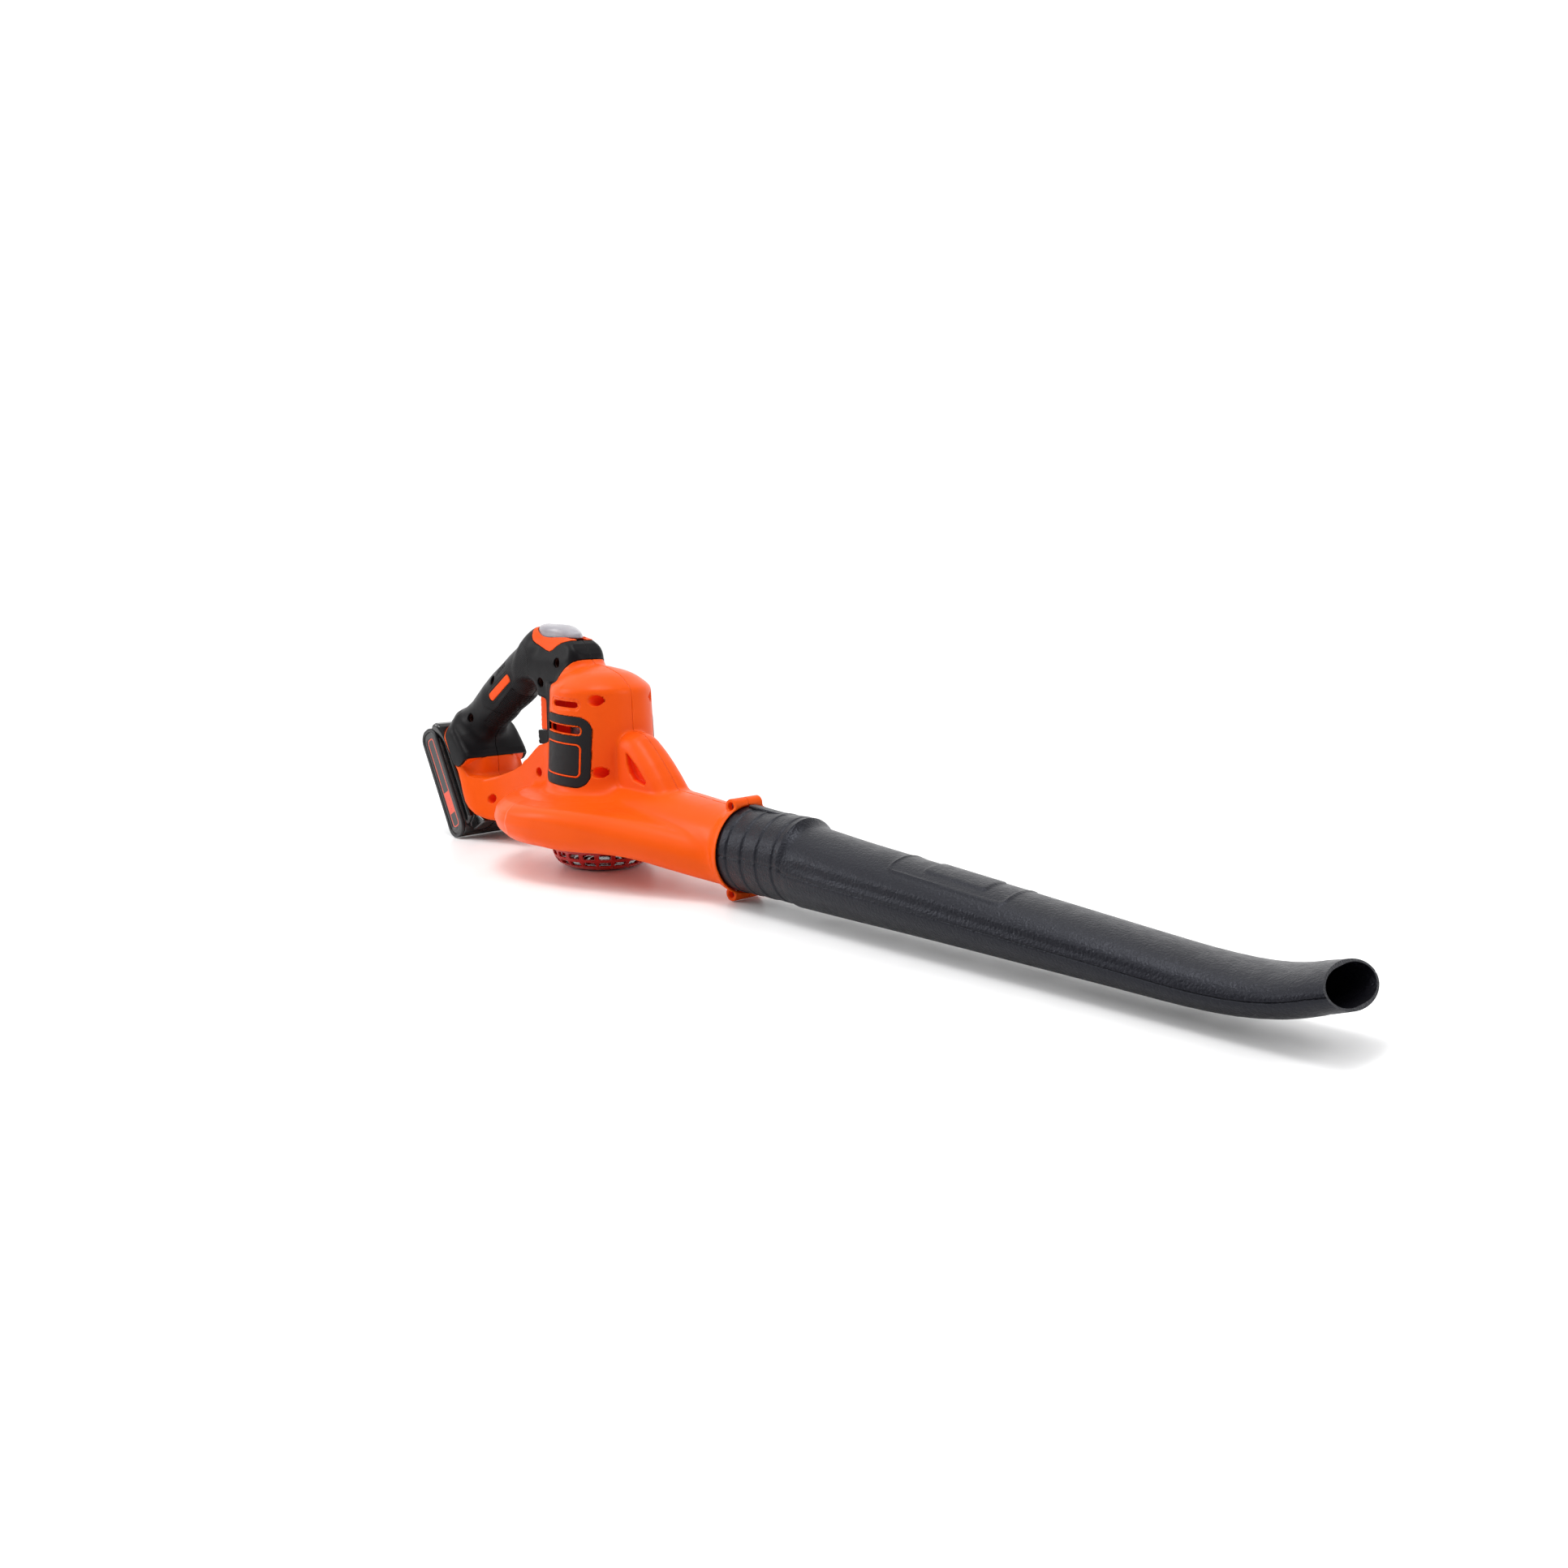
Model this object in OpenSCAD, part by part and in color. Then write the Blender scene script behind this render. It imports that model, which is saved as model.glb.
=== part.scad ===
// Cordless hand-held leaf blower: D handle, slide-on battery pack, push-in tube.
// Millimetres. +X runs forward along the tube, +Z is up. The origin is on the
// floor under the motor axis, so the blower stands at rest on Z = 0.

/* [Motor housing] */
// Radius of the motor housing just below the shoulder crease
motor_r = 43.5; // [40:0.5:47]
// Height of the shoulder crease above the floor
crease_z = 151; // [140:1:160]
// Wall thickness of the moulded shells
wall = 2.4; // [1.8:0.1:3]

/* [Volute and duct] */
// Outer radius of the scroll round the fan
volute_r = 88; // [80:1:92]
// Sideways shift of the scroll centre towards the outlet side
volute_shift = 8; // [4:1:12]
// Height of the tube axis at the collar
duct_z = 40.6; // [36:0.5:42]
// Outer radius of the duct at the collar
duct_r = 35.4; // [34:0.2:38]
// X of the end of the duct
duct_end = 188; // [180:1:195]

/* [Handle] */
// Radius of the grip at its lower end
grip_r0 = 17.8; // [16:0.2:20]
// Radius of the grip at its upper end
grip_r1 = 20.6; // [18:0.2:23]
// Thickness of the soft cover over the handle
cover = 2; // [1.5:0.1:3]

/* [Switch] */
// Length of the thumb slide
switch_len = 54; // [48:1:58]
// Forward travel of the thumb slide
switch_travel = 6; // [4:0.5:8]

/* [Fan and motor] */
// Radius of the fan over its blade tips
fan_r = 62; // [55:1:68]
// Number of fan blades
fan_blades = 11; // [7:1:15]
// Radius of the motor can
can_r = 27; // [24:0.5:30]
// Radius of the motor shaft
shaft_r = 2.5; // [2:0.1:3]

/* [Tube] */
// Wall thickness of the tube
tube_wall = 2; // [1.5:0.1:2.6]
// Upward tilt of the mouth in degrees
mouth_tilt = 35; // [20:1:45]

/* [Battery] */
// Length of the pack along its rail
pack_len = 112; // [108:1:116]
// Thickness of the outer slab of the pack
pack_t = 27; // [25:0.5:29]
// Width of the pack over its side frames
pack_w = 76; // [74:0.5:78]
// Radius of one cell
cell_r = 9.1; // [9:0.05:9.3]

/* [Hidden] */

eps = 0.01;
orange = [0.98, 0.34, 0.08];
orange_dark = [0.72, 0.12, 0.04];
black = [0.1, 0.1, 0.11];
pack_black = [0.05, 0.05, 0.055];
grey = [0.42, 0.43, 0.44];
silver = [0.74, 0.74, 0.77];
steel = [0.7, 0.71, 0.72];
copper = [0.75, 0.42, 0.2];

// Battery frame: origin at the top tip of the pack's outline, local X runs down
// the rail (the way the pack leaves), local Z points at the handle.
pack_tilt = 61;
pack_x = -236.1;
pack_z = 100.6;
module bf() { translate([pack_x, 0, pack_z]) rotate([0, pack_tilt, 0]) children(); }
function b2(u, v) = [pack_x + u * cos(pack_tilt) + v * sin(pack_tilt), pack_z - u * sin(pack_tilt) + v * cos(pack_tilt)];

module half(side) { // side -1 right (-Y), 1 left (+Y)
  translate([-300, side > 0 ? 0 : -150, -10]) cube([600, 150, 260]);
}
module ball(p, r, n = 20) { translate(p) sphere(r = r, $fn = n); }
module pair(p, r, n = 16) { for (s = [-1, 1]) translate([p[0], s * p[1], p[2]]) sphere(r = r, $fn = n); }

// ---------- outer forms, o moves every surface outwards ----------
module motor_form(o = 0) {
  rotate_extrude($fn = 44)
    polygon([[0, 40], [66 + o, 40], [64 + o, 61], [57 + o, 64.5], [51.5 + o, 68.5], [48.5 + o, 74.5],
      [47 + o, 82], [46.2 + o, 97], [45 + o, 122], [motor_r + o, crease_z - 1], [motor_r - 0.3 + o, crease_z + 1.6],
      [motor_r - 1.6 + o, crease_z + 4], [motor_r - 4.2 + o, crease_z + 6.2 + o * 0.7],
      [motor_r - 9.5 + o * 0.5, crease_z + 8.8 + o], [27, crease_z + 11.2 + o],
      [18, crease_z + 14 + o], [10, crease_z + 16.5 + o], [0, crease_z + 17.4 + o]]);
}
module spine_form(o = 0) { // rear rib of the motor housing that closes the D
  translate([0, 0, 60]) linear_extrude(height = 100)
    polygon([[0, 42 + o], [-24, 33.5 + o], [-50, 20.5 + o], [-63, 15.2 + o], [-69.5, 12.4 + o], [-72.6 - o, 9], [-73.6 - o, 4.5], [-73.6 - o, -4.5],
      [-72.6 - o, -9], [-69.5, -12.4 - o], [-63, -15.2 - o], [-50, -20.5 - o], [-24, -33.5 - o], [0, -42 - o]]);
}
module cap_form(o = 0) {
  hull() {
    pair([-25, 8, 181.6], 12.6 + o);
    pair([-33, 12, 168], 13 + o);
    pair([-80, 4, 184], 14.4 + o);
    pair([-56, 6, 160], 11.5 + o);
    ball([-100, 0, 171.5], grip_r1 - 0.6 + o);
  }
}
module neck_form(o = 0) { // saddle between the cap and the dome
  hull() {
    pair([-24, 9, 174], 11 + o);
    pair([-13, 14, 154.5], 13 + o);
    pair([-42, 12, 156], 13 + o);
  }
}
module grip_form(o = 0) {
  hull() {
    ball([-101, 0, 171], grip_r1 + o, 32);
    ball([-187, 0, 112.2], grip_r0 + o, 32);
  }
}
module cuff_form(o = 0) { // flared end of the grip, tongue shaped towards the top
  hull() {
    ball([-170, 0, 123.5], grip_r0 + 0.6 + o);
    bf() {
      pair([1.5, 8.5, 30], 5 + o, 14);
      pair([22, 26, 35], 6 + o, 14);
      pair([46, 28, 38], 6.5 + o, 14);
    }
  }
  hull() bf() {
    pair([-1.7, 9.9, 27.5], 3.7 + o, 12);
    pair([8.4, 22.1, 27.6], 3.7 + o, 12);
    pair([23, 33.3, 28], 3.8 + o, 12);
    pair([54, 33.2, 28.6], 3.9 + o, 12);
    pair([46, 28, 38], 6.5 + o, 14);
    pair([22, 26, 35], 6 + o, 14);
  }
}
module base_form(o = 0) { // battery base, wide at the pack
  hull() bf() {
    pair([-1.4, 9.5, 25.75], 3.5 + o, 12);
    pair([8.6, 21.7, 25.8], 3.45 + o, 12);
    pair([23, 33.3, 25.95], 3.6 + o, 12);
    pair([64, 33.2, 26.15], 3.65 + o, 12);
    pair([44, 26, 36], 7 + o, 16);
    pair([66, 22, 42], 8 + o, 16);
    pair([88, 27, 27.5], 4 + o, 14);
    pair([100, 20, 38], 6 + o, 16);
  }
}
module web_form(o = 0) { // lower frame between the battery base and the volute
  intersection() {
    translate([0, 60, 0]) rotate([90, 0, 0]) linear_extrude(height = 120)
      polygon([[-186, 76], [-182, 62], [-176, 58], [-160, 59.5], [-143, 65], [-120, 73], [-99, 81.5],
        [-82, 92], [-72, 101], [-66, 108], [-40, 108], [-40, 30], [-82, 24], [-112, 20.5], [-138, 20.7],
        [-150, 22.5], [-158, 25.5], [-169.5, 31.2]]);
    translate([0, 0, 10]) linear_extrude(height = 110)
      polygon([[-200, -32 - o], [-172, -31 - o], [-150, -25 - o], [-120, -18 - o], [-90, -15 - o], [-40, -15 - o],
        [-40, 15 + o], [-90, 15 + o], [-120, 18 + o], [-150, 25 + o], [-172, 31 + o], [-200, 32 + o]]);
  }
}
module gusset_form(o = 0) { // buttress from the motor housing down to the duct
  hull() {
    pair([36, 4, 107], 13.6 + o);
    pair([60, 3.6, 105], 13.2 + o);
    pair([40, 4, 70], 13 + o);
    pair([97, 6, 63.5], 12.5 + o);
  }
}
module volute_form(o = 0) {
  translate([0, -volute_shift, 0]) rotate_extrude($fn = 48)
    polygon([[0, 23.5 - o], [52, 23.5 - o], [64 + o * 0.3, 25 - o], [74 + o * 0.6, 28 - o * 0.8], [81 + o * 0.8, 32 - o * 0.6],
      [85.6 + o, 37.5 - o * 0.3], [volute_r - 0.5 + o, 42.5], [volute_r + o, 47], [volute_r - 0.4 + o, 52], [85.6 + o, 56.6 + o * 0.3],
      [81.5 + o * 0.7, 60.2 + o * 0.7], [75 + o * 0.4, 62.6 + o], [60, 65.4 + o], [0, 66 + o]]);
}
module duct_form(o = 0) {
  hull() {
    for (y = [-3, 3]) translate([duct_end - 12, y, 39.3]) rotate([0, 90, 0]) cylinder(r = 29.4 + o, h = 2, $fn = 32);
    translate([20, -50, 0]) rotate_extrude($fn = 32)
      polygon([[0, 30 - o], [30 + o, 30 - o], [38 + o * 0.8, 32.6 - o * 0.7], [42.6 + o, 38], [44.5 + o, 44.5], [44.5 + o, 51], [43 + o, 56.4], [39 + o * 0.8, 60 + o * 0.7], [30, 62.4 + o], [0, 62.4 + o]]);
    translate([62, 4, 50]) rotate([0, 90, 0]) cylinder(r = 22 + o, h = 4, $fn = 20);
    translate([100, 0, 44.4]) rotate([0, 90, 0]) cylinder(r = 27 + o, h = 4, $fn = 28);
  }
}
module duct_ring() { // flared end of the duct around the collar of the tube
  translate([0, 0, duct_z]) rotate([0, 90, 0]) rotate_extrude($fn = 48)
    polygon([[0, duct_end - 18], [30.2, duct_end - 18], [31, duct_end - 13], [32.6, duct_end - 8.4], [34.4, duct_end - 5], [duct_r, duct_end - 3], [duct_r, duct_end - 0.4], [duct_r - 0.4, duct_end], [0, duct_end]]);
}
// The orange outer envelope of both shells together
module envelope() {
  difference() {
    union() { motor_form(0); spine_form(0); cap_form(-cover); neck_form(0); grip_form(-cover); cuff_form(-cover * 0.5);
      base_form(0); web_form(0); gusset_form(0); volute_form(0); duct_form(0); duct_ring(); outlet_bosses(); }
    // step under the soft cover and the side panels
    cover_step();
    panel_step();
  }
}
// Outline of the soft cover in side view
module cover_outline() {
  polygon([[-9, 205], [-9, 181.5], [-14, 178.6], [-24, 171.5], [-34, 161], [-41, 152.5], [-43, 146], [-43, 132], [-40, 127],
    [-34, 123.5], [-20, 120.5], [-20, 111], [-48, 108], [-60, 103], [-86, 97], [-86, 150],
    [-90, 152], [-150, 104], [-157, 86], [-158.4, 79.2], [-166.3, 79.1], [-171, 77.5], [-175.5, 71.5], [-180.5, 69],
    [-186.8, 71.5], [-191.4, 76], [-217.4, 121.4], [-204, 131], [-150, 190], [-100, 215]]);
}
module cover_zone() { translate([0, 60, 0]) rotate([90, 0, 0]) linear_extrude(height = 120) cover_outline(); }
module cover_step() {
  intersection() {
    difference() {
      union() { motor_form(1); spine_form(1); cap_form(1); neck_form(1); grip_form(1); cuff_form(2); }
      union() { motor_form(-1.2); spine_form(-1.2); cap_form(-cover); neck_form(-1.2); grip_form(-cover); cuff_form(-cover * 0.5); base_form(-1.3); }
    }
    cover_zone();
  }
}
module panel_outline(o = 0) {
  x0 = -26 - o; x1 = 30.5 + o; z0 = 75 - o; z1 = 130.5 + o; r = 8 + o;
  polygon([for (c = [[x1 - r, z1 - r, 0], [x0 + r, z1 - r, 90], [x0 + r, z0 + r, 180], [x1 - r, z0 + r, 270]])
    for (a = [0:15:90]) [c[0] + r * cos(c[2] + a), c[1] + r * sin(c[2] + a)]]);
}
module panel_zone(o = 0) { translate([0, 60, 0]) rotate([90, 0, 0]) linear_extrude(height = 120) panel_outline(o); }
module panel_step() {
  intersection() { difference() { motor_form(2); motor_form(-1.2); } panel_zone(0); }
}
module outlet_bosses() {
  for (z = [75.2, 6]) translate([duct_end - 5.2, -14.5, z]) rotate([-90, 0, 0]) cylinder(r = 5.9, h = 29, $fn = 24);
}
// Hollow inside both shells
module cavity() {
  // motor chamber
  translate([0, 0, 62]) cylinder(r = 41.5, h = 88, $fn = 36);
  translate([0, 0, 149.9]) cylinder(r1 = 40.5, r2 = 20, h = 12, $fn = 36);
  // fan chamber
  translate([0, -volute_shift, 0]) rotate_extrude($fn = 32)
    polygon([[0, 26.4], [52, 26.4], [63, 27.6], [72.5, 30.4], [79.5, 34.4], [83.6, 40], [85.2, 46], [84.4, 53], [80, 57.4], [74, 60], [50, 60], [0, 60]]);
  // opening between the chambers, with a ledge for the motor plate
  translate([0, 0, 58]) cylinder(r = 34, h = 6, $fn = 40);
  // air way
  difference() {
    duct_form(-wall);
    translate([-60, -120, 60]) cube([118, 240, 60]);
  }
  translate([0, 0, duct_z]) rotate([0, 90, 0]) rotate_extrude($fn = 48)
    polygon([[0, duct_end - 33], [27.3, duct_end - 33], [27.3, duct_end - 6], [33.95, duct_end - 3.4], [33.95, duct_end + 8], [0, duct_end + 8]]);
  // handle
  hull() { ball([-100, 0, 171.5], 15.5, 14); ball([-176, 0, 119.6], 12, 14); }
  hull() { pair([-80, 3, 183], 9, 12); pair([-32, 6, 174], 9, 12); pair([-40, 6, 160], 9, 12); ball([-98, 0, 172], 13, 14); }
  translate([-50, -8, 120]) cube([30, 16, 46]);
  // switch opening
  translate([-80, -9, 180]) cube([62, 18, 30]);
  // battery base: box for the terminal block and the rails
  bf() translate([12, -24.4, 21]) cube([110, 48.8, 13.6]);
  bf() translate([20, -17, 30]) cube([44, 34, 14]);
  hull() { ball([-176, 0, 119.6], 12, 14); bf() translate([26, 0, 38]) sphere(r = 12, $fn = 14); }
}

// Bosses and the screws along Y that close the shells
screw_pos = [[-36.3, 175.5], [-66, 158.4], [-146.5, 153.7], [-178, 116.4], [35, 147.6], [39, 87], [-76.5, 74], [-140, 40.5]];

module screw_holes(side) {
  for (p = screw_pos) translate([p[0], 0, p[1]]) rotate([side > 0 ? -90 : 90, 0, 0]) {
    translate([0, 0, -1]) cylinder(r = 1.6, h = 60, $fn = 14);
    translate([0, 0, 7]) cylinder(r = 3.7, h = 60, $fn = 18);
  }
  for (z = [75.2, 6]) translate([duct_end - 5.2, 0, z]) rotate([side > 0 ? -90 : 90, 0, 0]) {
    translate([0, 0, -1]) cylinder(r = 1.6, h = 60, $fn = 14);
    translate([0, 0, 8]) cylinder(r = 3.3, h = 60, $fn = 18);
  }
}
module screw_posts() {
  for (p = screw_pos) translate([p[0], -45, p[1]]) rotate([-90, 0, 0]) cylinder(r = p[1] > 150 || p[0] < -80 ? 4.4 : 5.4, h = 90, $fn = 16);
}
module vent_slot(x0, x1, z, h = 3.4) {
  translate([0, -60, 0]) rotate([-90, 0, 0]) linear_extrude(height = 120) {
    translate([x0 + h / 2, -z]) circle(r = h / 2, $fn = 20);
    translate([x1 - h / 2, -z]) circle(r = h / 2, $fn = 20);
    translate([x0 + h / 2, -z - h / 2]) square([x1 - x0 - h, h]);
  }
}
module shell(side) {
  difference() {
    intersection() {
      difference() {
        envelope();
        difference() { cavity(); screw_posts(); }
        vent_slot(-11, 22, 143.4);
        vent_slot(-22, 26, 121.7, 4.2);
        // side recess of the buttress
        for (s = [-1, 1]) translate([0, s * 22 - 9, 0]) rotate([90, 0, 0]) translate([0, 0, -18]) linear_extrude(height = 18)
          polygon([[55.5, 104], [57.5, 103.5], [82, 82.5], [81, 80.6], [66, 83], [60.5, 88], [57, 95]]);
        // seat of the grille
        translate([0, 0, -5]) cylinder(r = 48.4, h = 34, $fn = 48);
      }
      half(side);
    }
    screw_holes(side);
  }
}
module housing_right() { color(orange) shell(-1); }
module housing_left() { color(orange) shell(1); }

// ---------- soft cover ----------
module cover_half(side) {
  difference() {
    intersection() {
      difference() {
        union() { motor_form(0.5); spine_form(0.5); cap_form(0); neck_form(0.4); grip_form(0); cuff_form(0.6); }
        union() { motor_form(-1.2); spine_form(-1.2); cap_form(-cover); neck_form(-1.2); grip_form(-cover); cuff_form(-cover * 0.5); base_form(-1.3); }
        panel_zone(0);
        // switch surround and finger rib sit in the cover
        surround_zone();
        rib_zone();
        // orange insert on the side of the grip
        insert_form(0);
      }
      cover_zone();
      half(side);
    }
    screw_holes(side);
    // grooves across the grip
    for (i = [0:4]) translate([-118 - i * 6.4, side * 14, 168.5 - i * 4.4]) rotate([0, 55, 0]) translate([0, 0, 4])
      rotate([0, 0, 0]) cube([1.4, 14, 13], center = true);
  }
}
module handle_cover_right() { color(black) cover_half(-1); }
module handle_cover_left() { color(black) cover_half(1); }

module insert_form(o = 0) { // oblong inlay, through both sides
  translate([-127.4, 0, 151.4]) rotate([0, -34.5, 0]) rotate([90, 0, 0]) translate([0, 0, -60]) linear_extrude(height = 120) {
    translate([-13, 0]) circle(r = 3.1 + o, $fn = 24);
    translate([13, 0]) circle(r = 3.1 + o, $fn = 24);
    translate([-13, -3.1 - o]) square([26, 6.2 + 2 * o]);
  }
}
module insert_half(side) {
  intersection() {
    difference() { grip_form(0.4); grip_form(-cover); }
    insert_form(0);
    half(side);
    translate([-200, side > 0 ? 8 : -68, 100]) cube([120, 60, 100]);
  }
}
module grip_insert_right() { color(orange) insert_half(-1); }
module grip_insert_left() { color(orange) insert_half(1); }

// ---------- side panel with its raised outline ----------
module panel_half(side) {
  intersection() {
    difference() {
      motor_form(0.5);
      motor_form(-1.2);
      vent_slot(-22, 26, 121.7, 4.2);
      frame_zone(side);
    }
    panel_zone(0);
    translate([-60, side > 0 ? 20 : -80, 60]) cube([120, 60, 90]);
  }
}
module frame_zone(side) {
  translate([0, side > 0 ? 60 : 0, 0]) rotate([90, 0, 0]) linear_extrude(height = 60) difference() {
    ring_outline(0);
    ring_outline(-1.3);
  }
}
module ring_outline(o) {
  x0 = -22 - o; x1 = 24 + o; z0 = 82.5 - o; z1 = 109.5 + o; r = 4.5 + o;
  polygon([for (c = [[x1 - r, z1 - r, 0], [x0 + r, z1 - r, 90], [x0 + r, z0 + r, 180], [x1 - r, z0 + r, 270]])
    for (a = [0:15:90]) [c[0] + r * cos(c[2] + a), c[1] + r * sin(c[2] + a)]]);
}
module panel_ring(side) {
  intersection() {
    difference() { motor_form(0.7); motor_form(-1.2); }
    frame_zone(side);
    translate([-60, side > 0 ? 20 : -80, 60]) cube([120, 60, 90]);
  }
}
module side_panel_right() { color(black) panel_half(-1); }
module side_panel_left() { color(black) panel_half(1); }
module panel_frame_right() { color(orange) panel_ring(-1); }
module panel_frame_left() { color(orange) panel_ring(1); }

// ---------- finger rib on the rear edge inside the D ----------
module rib_zone() {
  translate([0, 9, 0]) rotate([90, 0, 0]) linear_extrude(height = 18)
    polygon([[-66, 112], [-86, 112], [-86, 144], [-66, 144]]);
}
module finger_rib() {
  color(orange) difference() {
    translate([0, 9, 0]) rotate([90, 0, 0]) linear_extrude(height = 18) difference() {
      polygon([[-70, 112], [-77.6, 112], [-77.6, 144], [-70, 144]]);
      for (i = [0:4]) translate([-79.4, 115.4 + i * 6.3]) circle(r = 2.9, $fn = 24);
    }
    spine_form(-1.2);
  }
}

// ---------- switch surround and slide ----------
module surround_zone() {
  translate([0, 30, 0]) rotate([90, 0, 0]) linear_extrude(height = 60)
    polygon([[-9.2, 210], [-9.2, 196.2], [-16, 194.6], [-35, 192.6], [-43, 189], [-51, 184.4], [-57, 184.4], [-74, 191.4], [-82, 197], [-84, 210]]);
}
module switch_surround() {
  color(orange) difference() {
    intersection() { difference() { cap_form(0.7); cap_form(-cover); } surround_zone(); }
    translate([-100, -11.6, 196.4]) cube([100, 23.2, 20]);
    translate([-72.5, -5.2, 170]) cube([47, 10.4, 40]);
  }
}
sw_z = 196.7;
module thumb_slide() {
  color(silver) {
    difference() {
      intersection() {
        translate([0, 30, 0]) rotate([90, 0, 0]) linear_extrude(height = 60)
          polygon([[-80, sw_z], [-80.6, 200], [-79.6, 204], [-76.6, 207], [-70, 208.4], [-58, 208], [-46, 205.8], [-37, 203],
            [-31, 200.4], [-80 + switch_len - 4, 198.6], [-80 + switch_len - 3, sw_z]]);
        hull() for (x = [-69.4, -80 + switch_len - 14.5]) for (z = [sw_z - 2, 202]) translate([x, 0, z]) sphere(r = 11.1, $fn = 40);
      }
    }
    translate([-68, -4.6, 180]) cube([18, 9.2, sw_z - 180 + 0.5]);
  }
}
module switch_module() {
  color(pack_black) difference() {
    translate([-76, -7.5, 166.6]) cube([33, 15, 13]);
    translate([-71, -8, 171]) rotate([-90, 0, 0]) cylinder(r = 1.5, h = 16, $fn = 20);
    translate([-49, -8, 171]) rotate([-90, 0, 0]) cylinder(r = 1.5, h = 16, $fn = 20);
  }
}

// ---------- inlet grille ----------
module inlet_grille() {
  color(orange_dark) difference() {
    rotate_extrude($fn = 72) polygon([[0, 0], [31, 0], [36, 1.2], [40.5, 4.4], [43.6, 9], [45.4, 15], [46.2, 22.6], [48.2, 22.8], [48.2, 28.6],
      [43.6, 28.6], [43.6, 22], [42.8, 15.8], [41.2, 10.4], [38.6, 6.4], [35, 3.8], [30.5, 2.8], [0, 2.8]]);
    // two rows of side slots
    for (a = [0:18:342]) for (z = [[5.4, 3.2], [11.6, 4]]) rotate([0, 0, a]) translate([34, -5, z[0]]) cube([20, 10, z[1]]);
    // ring slots in the bottom
    for (r = [9, 15.5, 22]) for (q = [0:3]) rotate([0, 0, q * 90 + 8]) translate([0, 0, -1])
      rotate_extrude(angle = 74, $fn = 60) translate([r, 0]) square([3.4, 5]);
  }
}

// ---------- motor, fan ----------
module motor_can() {
  color(steel) translate([0, 0, 70]) difference() {
    union() {
      difference() {
        cylinder(r = can_r, h = 52, $fn = 64);
        translate([0, 0, 2]) cylinder(r = can_r - 2, h = 51, $fn = 64);
      }
      translate([0, 0, -2]) cylinder(r = 8, h = 7.8, $fn = 40);
    }
    translate([0, 0, -4]) cylinder(r = 6.5, h = 20, $fn = 40);
    for (a = [0:60:300]) rotate([0, 0, a]) translate([can_r - 3, -4, 9]) cube([6, 8, 7]);
    for (a = [30, 210]) rotate([0, 0, a]) translate([16, 0, -4]) cylinder(r = 1.6, h = 10, $fn = 20);
  }
}
module magnets() {
  color(pack_black) for (q = [0, 180]) translate([0, 0, 78]) rotate([0, 0, q + 20]) rotate_extrude(angle = 140, $fn = 64)
    translate([20.6, 0]) square([can_r - 2.1 - 20.6, 36]);
}
module motor_end_bell() {
  color(pack_black) translate([0, 0, 122]) difference() {
    union() { cylinder(r = can_r, h = 9, $fn = 64); cylinder(r = 9, h = 14, $fn = 40); for (s = [-1, 1]) translate([s * 17 - 3, -7, 0]) cube([6, 14, 13]); }
    translate([0, 0, -1]) cylinder(r = can_r - 3, h = 6, $fn = 64);
    translate([0, 0, -1]) cylinder(r = 6.5, h = 12, $fn = 40);
  }
}
module motor_plate() { // carrier between the motor and the fan chamber
  color(pack_black) difference() {
    union() {
      translate([0, 0, 62.2]) cylinder(r = 41.2, h = 2.4, $fn = 72);
      translate([0, 0, 64]) difference() { cylinder(r = 30, h = 14, $fn = 64); translate([0, 0, -1]) cylinder(r = can_r + 0.3, h = 20, $fn = 64); }
      translate([0, 0, 64]) cylinder(r = can_r + 0.3, h = 6, $fn = 64);
    }
    translate([0, 0, 60]) cylinder(r = 8.2, h = 12, $fn = 40);
    for (a = [30, 210]) rotate([0, 0, a]) translate([16, 0, 58]) cylinder(r = 1.6, h = 20, $fn = 20);
    for (a = [0:45:315]) rotate([0, 0, a]) translate([35.5, 0, 60]) cylinder(r = 3, h = 8, $fn = 24);
  }
}
module motor_screws() {
  color(steel) for (a = [30, 210]) rotate([0, 0, a]) translate([16, 0, 0]) {
    translate([0, 0, 62.1]) rotate([180, 0, 0]) difference() { cylinder(r = 2.8, h = 1.8, $fn = 28); translate([0, 0, 1]) cylinder(r = 1.1, h = 2, $fn = 6); }
    translate([0, 0, 62.1]) cylinder(r = 1.45, h = 9.5, $fn = 24);
  }
}
module bearing(z) {
  translate([0, 0, z]) difference() { cylinder(r = 6.45, h = 5, $fn = 40); translate([0, 0, -1]) cylinder(r = shaft_r + 0.05, h = 8, $fn = 40); }
}
module bearing_lower() { color(steel) bearing(71); }
module bearing_upper() { color(steel) bearing(126.5); }
module motor_shaft() { color(steel) translate([0, 0, 28.6]) cylinder(r = shaft_r, h = 103.4, $fn = 40); }
module armature() {
  color(copper) translate([0, 0, 79]) difference() {
    union() {
      cylinder(r = 19.5, h = 32, $fn = 48);
      translate([0, 0, -2.4]) cylinder(r = 15.5, h = 36.8, $fn = 48);
    }
    for (a = [0:30:330]) rotate([0, 0, a]) translate([18, 0, -1]) cylinder(r = 1.3, h = 34, $fn = 16);
    translate([0, 0, -4]) cylinder(r = shaft_r, h = 60, $fn = 40);
  }
}
module commutator() {
  color(copper) translate([0, 0, 113.6]) difference() { cylinder(r = 7.5, h = 7.8, $fn = 40); translate([0, 0, -1]) cylinder(r = shaft_r, h = 12, $fn = 40); }
}
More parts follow.
